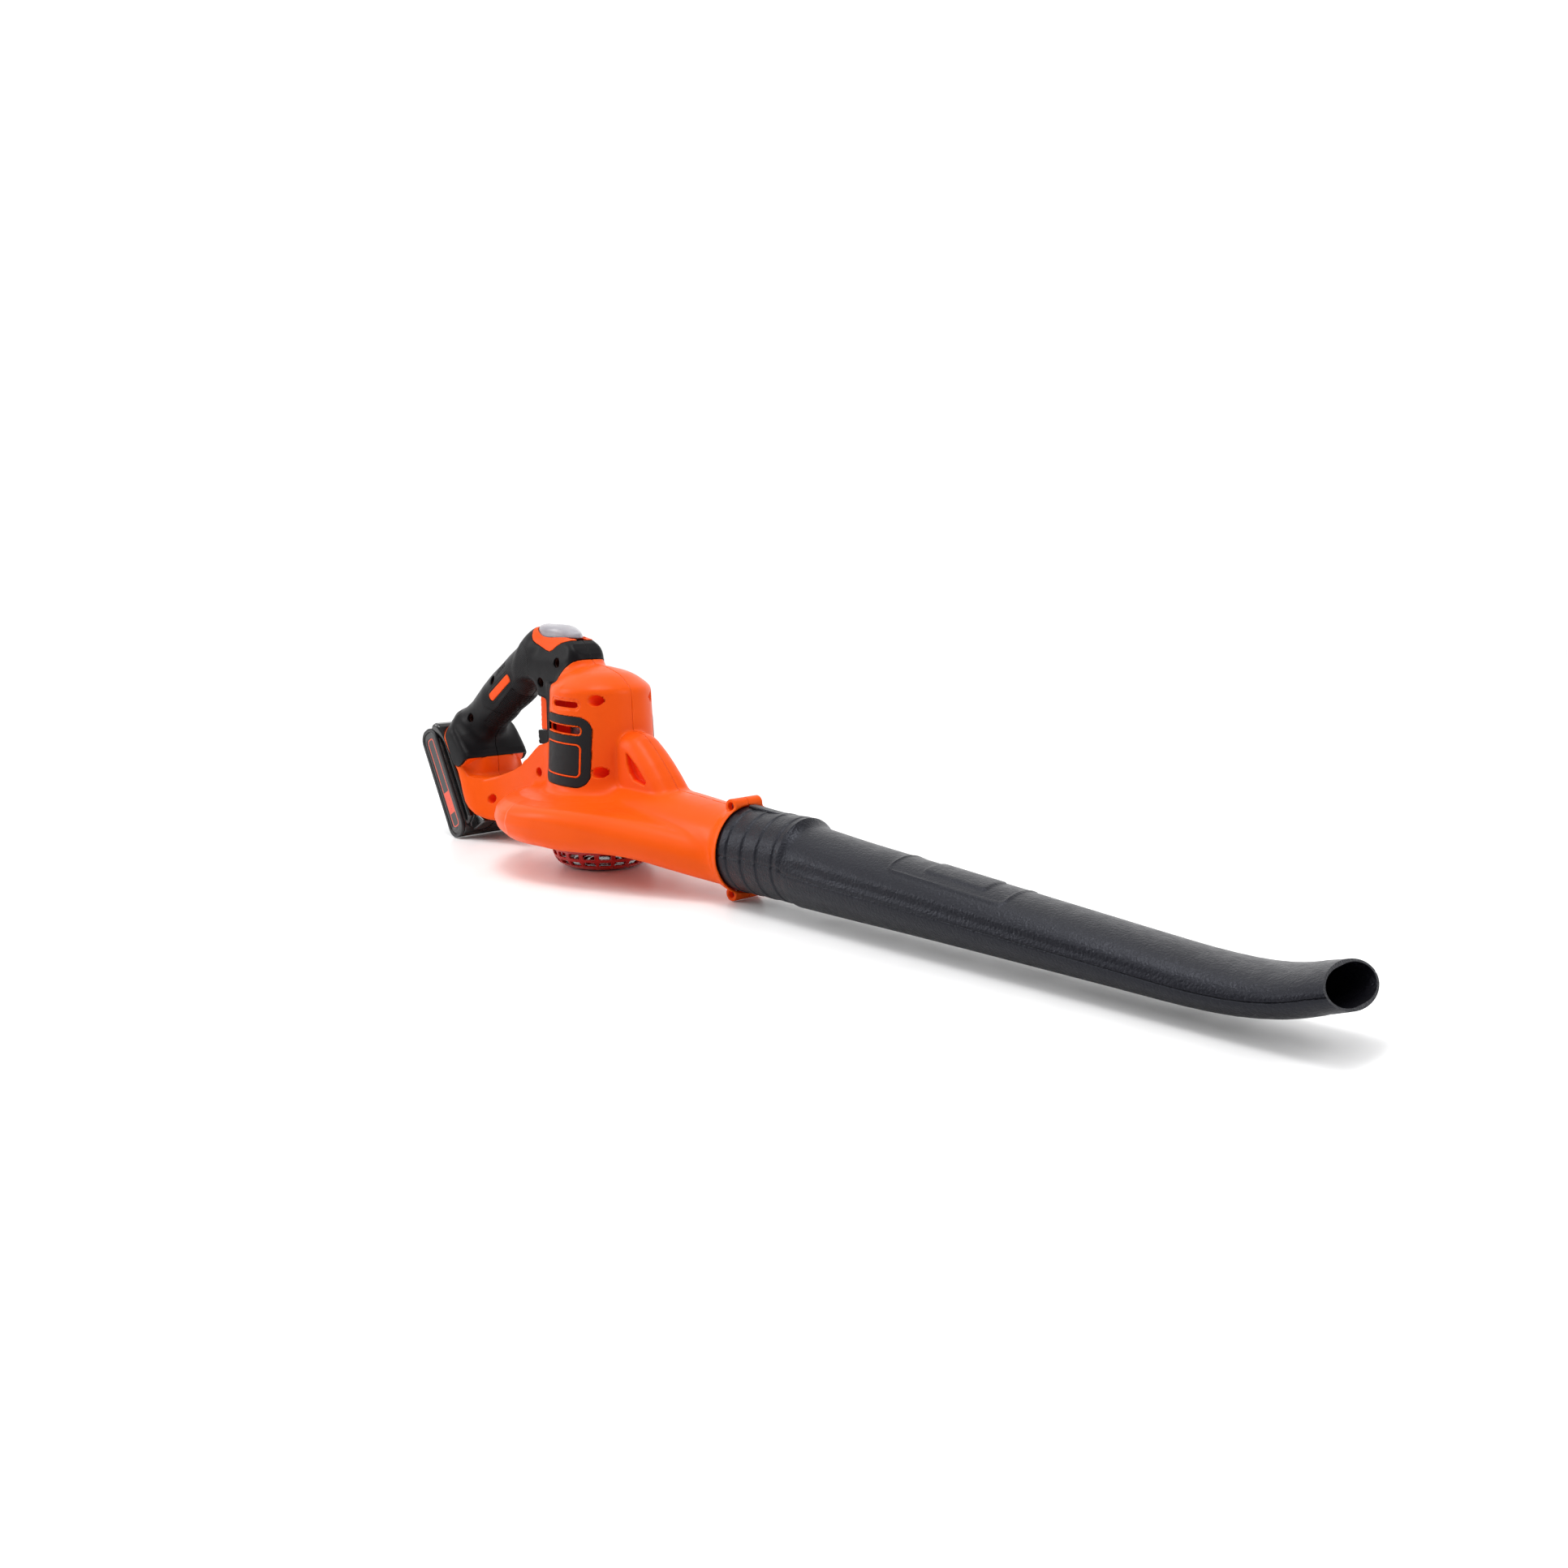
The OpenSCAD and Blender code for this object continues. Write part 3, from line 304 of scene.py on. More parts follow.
def to_bf(x, z):
    dx, dz = x + F(236.1), z - F(100.6)
    return dx * F(UX) - dz * F(UZ), dx * F(UZ) + dz * F(UX)      # u down the rail, v towards the handle


def from_bf(u, v):
    return -236.1 + u * UX + v * UZ, 100.6 - u * UZ + v * UX


def motor(x, y, z):
    r = hyp(x, y)
    side = r - table(z, [20, 56, 62, 68, 74.5, 82, 97, 122, 150, 170], [50, 50, 49.6, 48.9, 48.2, 47.2, 46.2, 45, 43.6, 43])
    top = (z - table(np.minimum(r, 59), [0, 6, 12, 18, 24, 30, 36, 40, 42.6, 44.4, 48, 60],
                     [174.6, 173.9, 172.5, 170.9, 169, 166.2, 162.2, 159, 156.2, 153.4, 147, 130])) * F(0.84)
    return smax(smax(side, top, 2.2), F(40) - z, 2)


SPINE = [(0, 42), (-24, 33.5), (-50, 20.5), (-59, 15), (-65, 12.2), (-69, 8.9), (-70.4, 4.5), (-70.4, -4.5),
         (-69, -8.9), (-65, -12.2), (-59, -15), (-50, -20.5), (-24, -33.5), (0, -42)]
CAP = [(-104, 158), (-92, 158), (-83, 157.4), (-77.6, 155.4), (-74.6, 151), (-73, 143.4), (-60, 141.6), (-30, 130), (0, 140), (4, 160), (2, 168.5), (-7, 174.2),
       (-11.6, 179.5), (-14.2, 183.6), (-17.8, 188), (-21.6, 192), (-26.4, 195.2), (-36, 197.4), (-60, 198.6), (-72, 200), (-79.5, 203), (-84, 204.2),
       (-88, 202), (-93.4, 197), (-98, 190), (-101, 180), (-104, 168)]


def cap(x, y, z):
    w = table(z, [110, 140, 158, 168, 176, 184, 191, 197, 202], [17, 17, 18.6, 20.2, 20.3, 18.3, 16.3, 13.4, 10.5])
    w = w + np.clip((x + F(40)) / F(40), 0, 1)**2 * F(2.5) * np.clip((F(176) - z) / F(16), 0, 1)
    d = smax(poly(x, z, CAP), np.abs(y) - w, 6)
    return smax(d, hyp(np.maximum(x + F(34), 0), y) - F(24), 4)


def grip_uv(x, z):
    dx, dz = x + F(101), z - F(171)
    return dx * F(-0.8254) + dz * F(-0.5645), dx * F(-0.5645) + dz * F(0.8254)


def grip(x, y, z):
    # swelling oval section, fuller towards the back of the hand
    gx, gn = grip_uv(x, z)
    c = table(gx, [-60, -30, 0, 14, 30, 57, 80, 105, 140], [0.7, 0.7, 0.3, 0.2, 0, 1.9, 2.2, 1.4, 1])
    A = table(gx, [-60, -30, 0, 14, 30, 57, 80, 105, 140], [18, 18.7, 20.3, 21.6, 22.4, 21.9, 19.9, 18.3, 18])
    B = table(gx, [-60, -30, 0, 14, 30, 57, 80, 105, 140], [19, 19.4, 20, 20, 19.8, 19.2, 18.4, 17.8, 17.8])
    over = np.maximum(np.abs(gx - F(40)) - F(64), 0)
    q = np.sqrt((y / B)**2 + ((gn - c) / A)**2 + (over / F(18))**2)
    return (q - F(1)) * np.minimum(A, B)


def tongue(u):
    return table(u, [-12, -8, -6.6, -5, -3.5, 0.5, 7.4, 14.4, 18.4, 25.9, 60, 140], [-8, -1, 6, 10.6, 14.2, 18.9, 26.7, 33.4, 36.2, 37.1, 37.1, 37.1])


SKIRT = [(-221, 117.6), (-216.8, 119.3), (-210.5, 119.4), (-203, 115), (-194, 108), (-184, 99), (-175.8, 90.4), (-170.8, 85), (-168.6, 81.4), (-167.6, 78.4), (-169.4, 70),
         (-174, 56), (-186, 54), (-196, 70)]


def bell(x, y, z):
    u, v = to_bf(x, z)
    ay = np.abs(y)
    w = table(v, [10, 21, 40, 46, 52, 60], [37.2, 37.2, 37, 36, 33.5, 29])
    sk = smax(smax(poly(x, z, SKIRT), (ay - w) * F(0.9), 6), (ay - tongue(u)) * F(0.72), 4)
    g = cone_cap(x, y * F(1.03), z, (-160, 0, 130.6), (-187.5, 0, 111.8), 18.2, 17.0)
    return smin(sk, g, 24)


BASE = [(-222, 117.6), (-208.6, 94.6), (-197, 79), (-185.8, 64.8), (-181, 54), (-177.9, 44.6), (-174, 36.5), (-168.5, 31), (-158, 25.5), (-147, 22.2), (-132, 20.6),
        (-112, 20.6), (-82, 24), (-40, 30), (-40, 112), (-62, 108), (-69, 104), (-76, 101), (-85, 95), (-99, 84.4), (-120, 74.2),
        (-143, 65.2), (-156, 61), (-158, 66), (-157, 74), (-165, 84), (-180, 90), (-196, 104), (-212, 117.4)]


def base(x, y, z):
    u, v = to_bf(x, z)
    ay = np.abs(y)
    w = table(v, [10, 21, 27, 33, 40, 50, 62, 78, 100, 160], [37.1, 37.1, 36.6, 34.6, 30.4, 24.4, 19.4, 16.4, 15.2, 15])
    d = smax(smax(poly(x, z, BASE), (ay - w) * F(0.92), 5.5), (ay - tongue(u)) * F(0.72), 4)
    # round neck under the rim of the cover, set back behind the side faces
    scoop = poly(x, z, [(-160, 110), (-186, 96), (-182, 80), (-180.6, 74.6), (-176.4, 67.4), (-171.6, 62), (-164.6, 60), (-156, 60.2), (-138, 64.8), (-120.4, 70.6), (-104, 78), (-100, 110)])
    neck = smax(rrect(x, y, -250, -166.6 , -31.6, 31.6, 25), F(40) - z, 2)
    return smax(d, -smax(scoop, -neck, 4), 1.2)


def volute(x, y, z):
    yy = y + F(8)
    r = hyp(x, yy)
    prof = [(-5, 60.4), (50, 60), (64, 58.6), (74.5, 55.6), (79, 51.4), (80.3, 46.8), (78.8, 42), (73, 36.4), (62, 32.4), (50, 31), (-5, 31)]
    return poly(r, z, prof) - F(6.8)


def arm(x, y, z):
    """straight outlet arm of the scroll"""
    ymin = table(x, [-10, 0, 20, 40, 60, 80, 100, 120, 140, 160, 176, 200], [-93.2, -93.4, -92.8, -89.4, -83.6, -75.8, -67.4, -58.6, -49.8, -40.8, -33.2, -31])
    ymax = F(6)
    zt = table(x, [-10, 20, 50, 80, 100, 120, 140, 160, 176, 200], [61.5, 62.6, 63.4, 62.2, 60.2, 57.4, 54, 50.4, 47.4, 45])
    zb = table(x, [-10, 28, 46, 62, 83, 100, 116, 135, 161, 176, 200], [33, 30.5, 29.1, 29, 29.2, 28.2, 26, 22, 16.6, 13.6, 12])
    rc = table(x, [-10, 20, 60, 100, 140, 176, 200], [9, 9.5, 12.5, 15.5, 17.5, 18, 17.6])
    a, b = (ymax - ymin) * F(0.5), (zt - zb) * F(0.5)
    rc = np.minimum(rc, np.minimum(a, b) - F(0.3))
    qy = np.abs(y - (ymax + ymin) * F(0.5)) - (a - rc)
    qz = np.abs(z - (zt + zb) * F(0.5)) - (b - rc)
    d = np.sqrt(np.maximum(qy, 0)**2 + np.maximum(qz, 0)**2) + np.minimum(np.maximum(qy, qz), 0) - rc
    return smax(d * F(0.93), F(-8) - x, 2)


def core(x, y, z):
    """round duct that widens towards the motor"""
    zt = table(x, [-10, 20, 40, 70, 105, 128, 147, 167, 176, 200], [74, 75.5, 76.8, 77.4, 77, 75.6, 74.1, 72.6, 72.2, 72])
    zb = table(x, [-10, 20, 60, 100, 140, 176, 200], [33, 30.5, 25.5, 19.8, 14.2, 9.8, 9])
    a = table(x, [-10, 20, 60, 80, 105, 137, 167, 188], [34, 37, 38.6, 38, 36.6, 34.4, 32.2, 31.2])
    b = (zt - zb) * F(0.5)
    q = hyp(y / a, (z - (zt + zb) * F(0.5)) / b)
    d = (q - F(1)) * np.minimum(a, b)
    return smax(d * F(0.95), F(8) - x, 3)


def duct(x, y, z):
    return smax(smin(arm(x, y, z), core(x, y, z), 3.5), x - F(187.8), 1)


def ring_end(x, y, z):
    r = hyp(y, z - F(40.6))
    R = table(x, [150, 166, 172, 176, 180, 183.5, 186, 190], [24, 28.6, 30.2, 31.6, 33.7, 35.5, 35.9, 35.9])
    return smax(smax((r - R) * F(0.93), x - F(188), 0.7), F(160) - x, 1)


def bosses(x, y, z):
    r = np.minimum(hyp(x - F(182.8), z - F(75.2)), hyp(x - F(182.8), z - F(6)))
    return smax(r - F(5.9), np.abs(y) - F(14.5), 0.9)


GUS = [(28, 122), (46, 121), (54, 120.2), (60.5, 118.4), (65, 115.8), (74.7, 108), (85.1, 98.4), (95, 87.8), (104, 76.6), (111, 66), (114, 44), (28, 44)]


def gusset(x, y, z):
    w = table(z, [40, 64, 80, 112, 124], [20, 19, 18, 16.4, 15])
    return smax(poly(x, z, GUS), np.abs(y) - w, 15)


def body_upper(x, y, z):
    c = smin(motor(x, y, z), cap(x, y, z), 9)
    sp = smax(poly(x, y, SPINE), np.abs(z - F(108)) - F(50), 3)
    # squared lug under the finger rib
    sp = smin(sp, rbox(x, y, z, (-83.6, -9.6, 99.2), (-58, 9.6, 112.4), 1.4), 1)
    c = smin(c, sp, 3)
    return smin(c, grip(x, y, z), 6)


def cover_skin(x, y, z):
    return smin(body_upper(x, y, z), bell(x, y, z), 7)


def envelope(x, y, z):
    e = body_upper(x, y, z)
    e = smin(e, base(x, y, z), 4)
    v = volute(x, y, z)
    dd = smin(duct(x, y, z), smin(ring_end(x, y, z), bosses(x, y, z), 1.6), 2)
    vd = smin(v, dd, 4)
    e = smin(e, vd, 9)
    return smin(e, gusset(x, y, z), 2.4)


COVER = [(-5, 205), (-5.2, 177.4), (-9, 178.8), (-14.4, 178.8), (-24, 171.2), (-34, 161), (-34.6, 152.6), (-36.2, 147), (-36.4, 142.6),
         (-34.4, 138.6), (-30, 137), (-20, 136.2), (-20, 111), (-48, 107.4), (-60, 103), (-74, 99.4), (-90, 97),
         (-100, 108), (-148, 98), (-156, 88), (-158.4, 79.6), (-167.2, 79.2), (-170.6, 78), (-173.6, 75.2), (-176.4, 72.4), (-180.4, 70.4),
         (-184.4, 70), (-188, 71.4), (-191.2, 75.2), (-217.8, 121), (-205, 132), (-150, 190), (-100, 215)]
COVER_S = smooth_poly(COVER, it=1)
PANEL = dict(x0=-26, x1=30.5, z0=75, z1=130.5, r=8)
SCREWS = [(-36.3, 175.5), (-64.2, 156.8), (-144.8, 153.9), (-182.2, 115.8), (31.5, 147.6), (35.5, 87), (-76.5, 74), (-144, 42)]


def cover_zone(x, z):
    return poly(x, z, COVER_S)


def panel_zone(x, z, o=0.0):
    return rrect(x, z + F(0.055) * x, -26, 30.5, 75, 134.9, 11) - F(o)


def slot2(x, z, o=0.0):
    return rrect(x, z + F(0.055) * x, -22 - o, 22.2 + o, 120 - o, 126.2 + o, 2.6 + o)


def slot1(x, z, o=0.0):
    return rrect(x, z + F(0.04) * x, -10 - o, 19 + o, 141.7 - o, 146.7 + o, 2.3 + o)


def ring_zone(x, z, o=0.0):
    return rrect(x, z + F(0.055) * x, -22 - o, 23.4 + o, 83.5 - o, 112 + o, 4.5 + o)


def insert_zone(x, z, o=0.0):
    c, s = math.cos(math.radians(32.6)), math.sin(math.radians(32.6))
    dx, dz = x + F(130.6), z - F(147.9)
    return rrect(dx * F(c) + dz * F(s), -dx * F(s) + dz * F(c), -20.4 - o, 20.4 + o, -3.8 - o, 3.8 + o, 3 + o)


def holes(x, y, z):
    d = None
    ay = np.abs(y)
    for i, (a, b) in enumerate(SCREWS):
        r = hyp(x - F(a), z - F(b)) - F(4.6 if a > 0 else 4.3)
        h = smax(r, F(7.2) - ay, 0.3)
        d = h if d is None else np.minimum(d, h)
    r = np.minimum(hyp(x - F(182.8), z - F(75.2)), hyp(x - F(182.8), z - F(6))) - F(3.3)
    return np.minimum(d, smax(r, F(8) - ay, 0.3))


SURR = [(-24.6, 212), (-24.6, 195.4), (-28, 194.4), (-34, 193), (-40, 190.2), (-45, 186.6), (-49.6, 184.9), (-55, 185.9), (-64, 188.8), (-71, 191.2), (-75.6, 193.6),
        (-79.4, 197.4), (-83, 202), (-84, 212)]


def surround_zone(x, z):
    return poly(x, z, SURR)


def rib_zone(x, y, z):
    return np.maximum(np.maximum(np.maximum(x + F(66), F(-86) - x), np.abs(z - F(128)) - F(16)), np.abs(y) - F(9))


def cavity(x, y, z):
    r = hyp(x, y)
    a = smax(r - F(41.5), smax(F(62) - z, (z - F(159) + r * F(0.35)), 2), 1)
    rv = hyp(x, y + F(8))
    b = poly(rv, z, [(-5, 26.4), (52, 26.4), (63, 27.6), (72.5, 30.4), (79.5, 34.4), (82.6, 40), (84, 46), (83, 52), (79, 56.6), (73, 59.2), (50, 59.6), (-5, 59.6)])
    c = smax(r - F(34), np.abs(z - F(61)) - F(3), 0.5)
    d = smax(duct(x, y, z) + F(2.6), x - F(156), 1)
    d = smax(d, smax(z - F(60), F(-60) + x, 1) * 0 + np.where(x < 60, z - F(59.4), z - F(200)).astype(F), 1)
    rx = hyp(y, z - F(40.6))
    e = smax(rx - table(x, [100, 181, 182.4, 184.6, 186, 200], [27.3, 27.3, 27.9, 33.3, 33.95, 33.95]), F(155) - x, 0.4)
    h1 = cone_cap(x, y, z, (-100, 0, 171.5), (-176, 0, 119.6), 14.5, 11.5)
    h2 = smax(np.abs(y) - F(9), poly(x, z, [(-82, 186), (-100, 178), (-90, 166), (-60, 152), (-34, 152), (-24, 176), (-30, 187)]), 3)
    h3 = rbox(x, y, z, (-51, -8, 118), (-20, 8, 160), 2)
    k = np.minimum(np.minimum(np.minimum(a, b), np.minimum(c, d)), np.minimum(e, np.minimum(h1, np.minimum(h2, h3))))
    u, v = to_bf(x, z)
    base_box = rbox(u, y, v, (12, -24.4, 14), (130, 24.4, 34.6), 0.8)
    neck = rbox(u, y, v, (20, -16, 30), (58, 16, 41), 0.8)
    p1 = cone_cap(x, y, z, (-176, 0, 119.6), (*[from_bf(26, 38)[0]], 0, from_bf(26, 38)[1]), 11.5, 11.5)
    k = np.minimum(k, np.minimum(base_box, np.minimum(neck, p1)))
    sw = rbox(x, y, z, (-80, -9, 180), (-18, 9, 214), 1)
    k = np.minimum(k, sw)
    # posts of the screws stay
    post = None
    for i, (a_, b_) in enumerate(SCREWS):
        q = hyp(x - F(a_), z - F(b_)) - F(5.8 if (b_ > 150 or a_ < -80) else 6.2)
        post = q if post is None else np.minimum(post, q)
    return smax(k, -post, 0.6)


def shell_env(x, y, z):
    """orange shells as one: envelope less the seats of cover, panels and openings"""
    e = envelope(x, y, z)
    cs = cover_skin(x, y, z) + F(2.1)
    zone = cover_zone(x, z)
    e = smin(e, smax(bell(x, y, z) + F(2.1), zone, 0.5), 0.6)
    e2 = smax(e, -smax(zone, -cs, 0.4), 0.5)
    pz = smax(smax(panel_zone(x, z), -slot2(x, z, 1.3), 0.4), F(20) - np.abs(y), 0.5)
    pz = smax(pz, -smax(ring_zone(x, z), -ring_zone(x, z, -1.3), 0.2) - F(0.0), 0.2)
    m = motor(x, y, z)
    e2 = smax(e2, -smax(pz, -(m + F(1.3)), 0.3), 0.4)
    # shallow step round the upper slot
    e2 = smax(e2, -smax(slot1(x, z, 2.6), -(m + F(0.6)), 0.2), 0.25)
    # vents
    ay = np.abs(y)
    vents = smax(np.minimum(slot1(x, z), slot2(x, z)), smax(F(26) - ay, F(34) - hyp(x, y), 1), 0.5)
    e2 = smax(e2, -vents, 0.7)
    # recess of the buttress
    tri = poly(x, z, [(55.4, 104.6), (58, 103.4), (70, 94.6), (82.2, 82.6), (80.6, 80.2), (66, 83), (60.5, 88), (57, 95)])
    e2 = smax(e2, -smax(tri, F(11.4) - ay, 1.2), 1.4)
    # opening for the inlet grille
    e2 = smax(e2, -smax(hyp(x, y) - F(48.6), z - F(29), 0.5), 0.8)
    e2 = smax(e2, -holes(x, y, z), 0.7)
    return smax(e2, -cavity(x, y, z), 0.8)


def half_of(side):
    s = F(side)

    def f(x, y, z):
        return smax(shell_env(x, y, z), F(0.07) - s * y, 0.55)
    return f


# ---------------------------------------------------------------- other solids (mm)
def cover_of(side):
    s = F(side)

    def f(x, y, z):
        cs = cover_skin(x, y, z)
        zone = cover_zone(x, z)
        d = smax(smax(cs - F(0.1), -(cs + F(1.9)), 0.5), zone + F(0.14), 0.7)
        ay = np.abs(y)
        d = smax(d, F(0.06) - s * y, 0.5)
        d = smax(d, -(surround_zone(x, z) - F(0.15)) - np.where(z < 180, F(99), F(0)), 0.5)
        d = smax(d, -smax(panel_zone(x, z, 0.3), F(18) - ay, 0.5), 0.5)
        d = smax(d, -smax(rib_zone(x, y, z), x + F(60), 1), 0.5)
        # insert: pocket; its border line is only drawn by the grip_lines attribute
        iz = insert_zone(x, z)
        d = smax(d, -smax(iz - F(0.2), F(8) - ay, 0.5), 0.3)
        # transverse grooves at the rear top of the grip
        gx = (x + F(101)) * F(-0.8254) + (z - F(171)) * F(-0.5645)      # along the grip
        gn = (x + F(101)) * F(-0.5645) + (z - F(171)) * F(0.8254)      # towards its back
        ph = (gx - F(20)) / F(3.1)
        k = np.abs(ph - np.round(ph)) * F(3.1) - F(0.55)
        gz = smax(smax(np.abs(gx - F(27.6)) - F(8.4), np.abs(gn - F(12.6)) - F(3.2), 1), k, 0.4)
        d = smax(d, -smax(gz, -(cs + F(0.9)), 0.4), 0.4)
        # serrations under the grip
        ph = gx / F(2.3)
        k = np.abs(ph - np.round(ph)) * F(2.3) - F(0.5)
        sz = smax(smax(np.abs(gx - F(54)) - F(33), gn + F(11.5), 2), k, 0.5)
        d = smax(d, -smax(sz, -(cs + F(0.75)), 0.5), 0.5)
        d = smax(d, -holes(x, y, z), 0.5)
        return d
    return f


def cover_marks(x, y, z):
    """1 inside the textured zone between the moulded lines of the grip"""
    gx, gn = grip_uv(x, z)
    a = (gx - (F(-23.5) + F(0.035) * gn * gn)) - F(1.2)
    b = (F(30) + gn * F(0.55)) - gx - F(1.2)
    c = F(10) - gn
    d = -insert_zone(x, z, 3.4)
    return np.clip(np.minimum(np.minimum(a, b), np.minimum(c, -d)) / F(0.8), 0, 1)


def grip_lines(x, y, z):
    """distance to the moulded lines of the grip"""
    gx, gn = grip_uv(x, z)
    l1 = np.abs(gx - (F(-23.5) + F(0.035) * gn * gn)) + np.maximum(gn - F(11), 0) * F(3)
    l2 = np.abs(gx - (F(30) + gn * F(0.55))) * F(0.88) + np.maximum(gn - F(2), 0) * F(3)
    l3 = np.abs(gx - (F(71) + gn * F(0.55))) * F(0.88) + np.maximum(gn + F(3), 0) * F(3)
    # outline round the inlay, kept off the middle of the cap
    l4 = np.abs(insert_zone(x, z, 2.6)) + np.maximum(F(6) - np.abs(y), 0)
    return np.minimum(np.minimum(l1, l2), np.minimum(l3, l4))


def painted_depth_shade_of(x, y, z):
    """how far below the outer skin a point of the shell lies, for painted shade: deeper points get a darker red and a
    faint red glow, and the shell under the soft cover and round the screw holes counts negative and is painted near
    black as shade
    """
    e = envelope(x, y, z)
    d = np.clip((-e - F(1.0)) / F(2.2), 0, 1)
    # mask of the painted near-black shade: under the soft cover near its skin and round the screw holes, outside the
    # lower vent
    under = ((cover_zone(x, z) < F(-0.6)) | (z > F(180))) & ((e > F(-5)) | (holes(x, y, z) < F(1.5))) & (slot2(x, z) > F(2))
    return np.where(under, F(-1), d).astype(F)


def panel_of(side):
    s = F(side)

    def f(x, y, z):
        m = motor(x, y, z)
        d = smax(smax(m - F(0.15), -(m + F(1.15)), 0.4), panel_zone(x, z, -0.15), 0.8)
        d = smax(d, -slot2(x, z, 1.45), 0.5)
        ring = smax(ring_zone(x, z, 0.12), -ring_zone(x, z, -1.42), 0.2)
        d = smax(d, -ring, 0.4)
        return smax(d, F(18) - s * y, 0.5)
    return f


def ring_of(side):
    s = F(side)

    def f(x, y, z):
        m = motor(x, y, z)
        d = smax(smax(m - F(0.35), -(m + F(1.15)), 0.3), smax(ring_zone(x, z), -ring_zone(x, z, -1.3), 0.3), 0.45)
        return smax(d, F(18) - s * y, 0.3)
    return f


def insert_of(side):
    s = F(side)

    def f(x, y, z):
        g = grip(x, y, z)
        d = smax(smax(g - F(0.25), -(g + F(1.9)), 0.4), insert_zone(x, z), 0.8)
        return smax(d, F(8) - s * y, 0.3)
    return f


def rib(x, y, z):
    ph = (z - F(114.8)) / F(4.5)
    k = np.clip(np.round(ph), 0, 6)
    c = hyp(x + F(81.2), (ph - k) * F(4.5)) - F(2.5)
    d = rbox(x, y, z, (-79.8, -8.8, 112.6), (-64.5, 8.8, 143.6), 1.6)
    return smax(d, -c, 0.7)


def surround(x, y, z):
    c = smin(cap(x, y, z), grip(x, y, z), 6)
    d = smax(smax(c - F(0.5), -(c + F(1.7)), 0.5), surround_zone(x, z), 0.9)
    w = table(x, [-90, -85.4, -83.2, -80, -74, -66, -58, -44, -34, -29.6, -27, -12], [-9, -3, 4, 8.2, 11, 12.3, 12.4, 11, 7.6, 4, -3, -20])
    opening = smax(np.abs(y) - w, F(192.4) - z, 0.4)
    shaft = rbox(x, y, z, (-72.5, -5.2, 160), (-25.5, 5.2, 230), 0.5)
    d = smax(smax(d, -opening, 0.7), -shaft, 0.4)
    # room for the slide over its whole travel
    for go in (0, 1.5, 3, 4.5, 6):
        d = np.maximum(d, F(0.45) - slide(x - F(go), y, z))
    return d


def slide(x, y, z):
    w = table(x, [-84, -82.2, -80.8, -78, -73, -66, -58, -48, -40, -34, -30.6, -28.4, -26], [-5, 1, 5.4, 8.8, 10.9, 11.6, 11.6, 10.6, 9, 6.8, 4.4, 0.6, -5])
    zt = table(x, [-84, -82.4, -80.6, -78, -74, -68, -60, -52, -46, -40, -35, -30, -26, -22], [203, 205.4, 207.6, 208.25, 208.3, 208.3, 208.25, 207.9, 207, 205.2, 203.5, 201.4, 199.8, 198])
    zt = zt - (y / np.maximum(w, 3))**2 * F(2.6)
    d = smax(smax((np.abs(y) - w) * F(0.9), (z - zt) * F(0.9), 3.2), F(196.75) - z, 0.6)
    # post under the key
    post = rbox(x, y, z, (-68, -4.6, 180), (-50, 4.6, 198), 0.4)
    return np.minimum(d, post)


def grille(x, y, z):
    r = hyp(x, y)
    d = poly(r, z, [(0, 0.35), (30.6, 0.35), (35.8, 1.5), (40.3, 4.6), (43.4, 9.1), (45.2, 15), (46, 22.9), (48.1, 23), (48.1, 28.5), (43.8, 28.5), (43.8, 22), (43, 15.8),
                    (41.4, 10.4), (38.8, 6.6), (35, 4), (30.5, 2.9), (0, 2.9)]) - F(0.35)
    a = np.arctan2(y, x)
    st = F(math.radians(18))
    k = a / st
    da = (k - np.round(k)) * st
    yy = r * np.sin(da)
    for z0, z1 in ((5.4, 8.6), (11.6, 15.6)):
        q = smax(rrect(yy, z, -5, 5, z0, z1, 1.1), F(34) - r, 0.5)
        d = smax(d, -q, 0.5)
    for rr in (9, 15.5, 22):
        st4 = F(math.pi / 2)
        k = (a - F(math.radians(45))) / st4
        db = (k - np.round(k)) * st4
        q = smax(np.abs(r - F(rr + 1.7)) - F(1.7), np.abs(db) * r - F(rr * 0.62), 0.8)
        d = smax(d, -smax(q, z - F(4.4), 0.4), 0.5)
    return d


def stadium(u, v, o, r=11.5):
    return rrect(u, v, o, 112 - o, -13.5 + o, 13.5 - o, r)


def frame_of(side):
    s = F(side)

    def f(x, y, z):
        u, v = to_bf(x, z)
        yy = s * y
        d = smax(smax(stadium(u, v, 0.05, 11.4), -stadium(u, v, 3.6, 8), 0.9), smax(F(34.85) - yy, yy - F(37.95), 0.9), 1.1)
        return d
    return f


def plate_of(side):
    s = F(side)

    def f(x, y, z):
        u, v = to_bf(x, z)
        yy = s * y
        d = smax(stadium(u, v, 3.75, 7.9), smax(F(34.85) - yy, yy - F(37.1), 0.3), 0.5)
        # sunk label field, plain; its fine line and short block are only coloured, from plate_line
        lab = rrect(u, v, 9, 103, -6.6, 6.6, 4.5)
        d = smax(d, -smax(lab, F(36.55) - yy, 0.2), 0.35)
        return d
    return f


def plate_line(x, y, z):
    u, v = to_bf(x, z)
    a = np.abs(rrect(u, v, 10.6, 101.4, -5, 5, 3.2)) - F(0.55)
    b = rrect(u, v, 66, 88, -4.4, 4.4, 0.6)
    return np.clip(F(0.5) - np.minimum(a, b) / F(0.35), 0, 1)


def pack_outer(x, y, z):
    u, v = to_bf(x, z)
    ay = np.abs(y)
    d = smax(smax(stadium(u, v, 0.1, 11.4), ay - F(34.75), 0.6), v, 0.3)
    d = smax(d, -rbox(u, y, v, (5, -31.5, -10.4), (107, 31.5, 20), 0.3), 0.4)
    for uu in (12, 100):
        for yy in (-26, 26):
            d = smax(d, -smax(hyp(u - F(uu), y - F(yy)) - F(2.7), v + F(11.3), 0.3), 0.4)
    return d


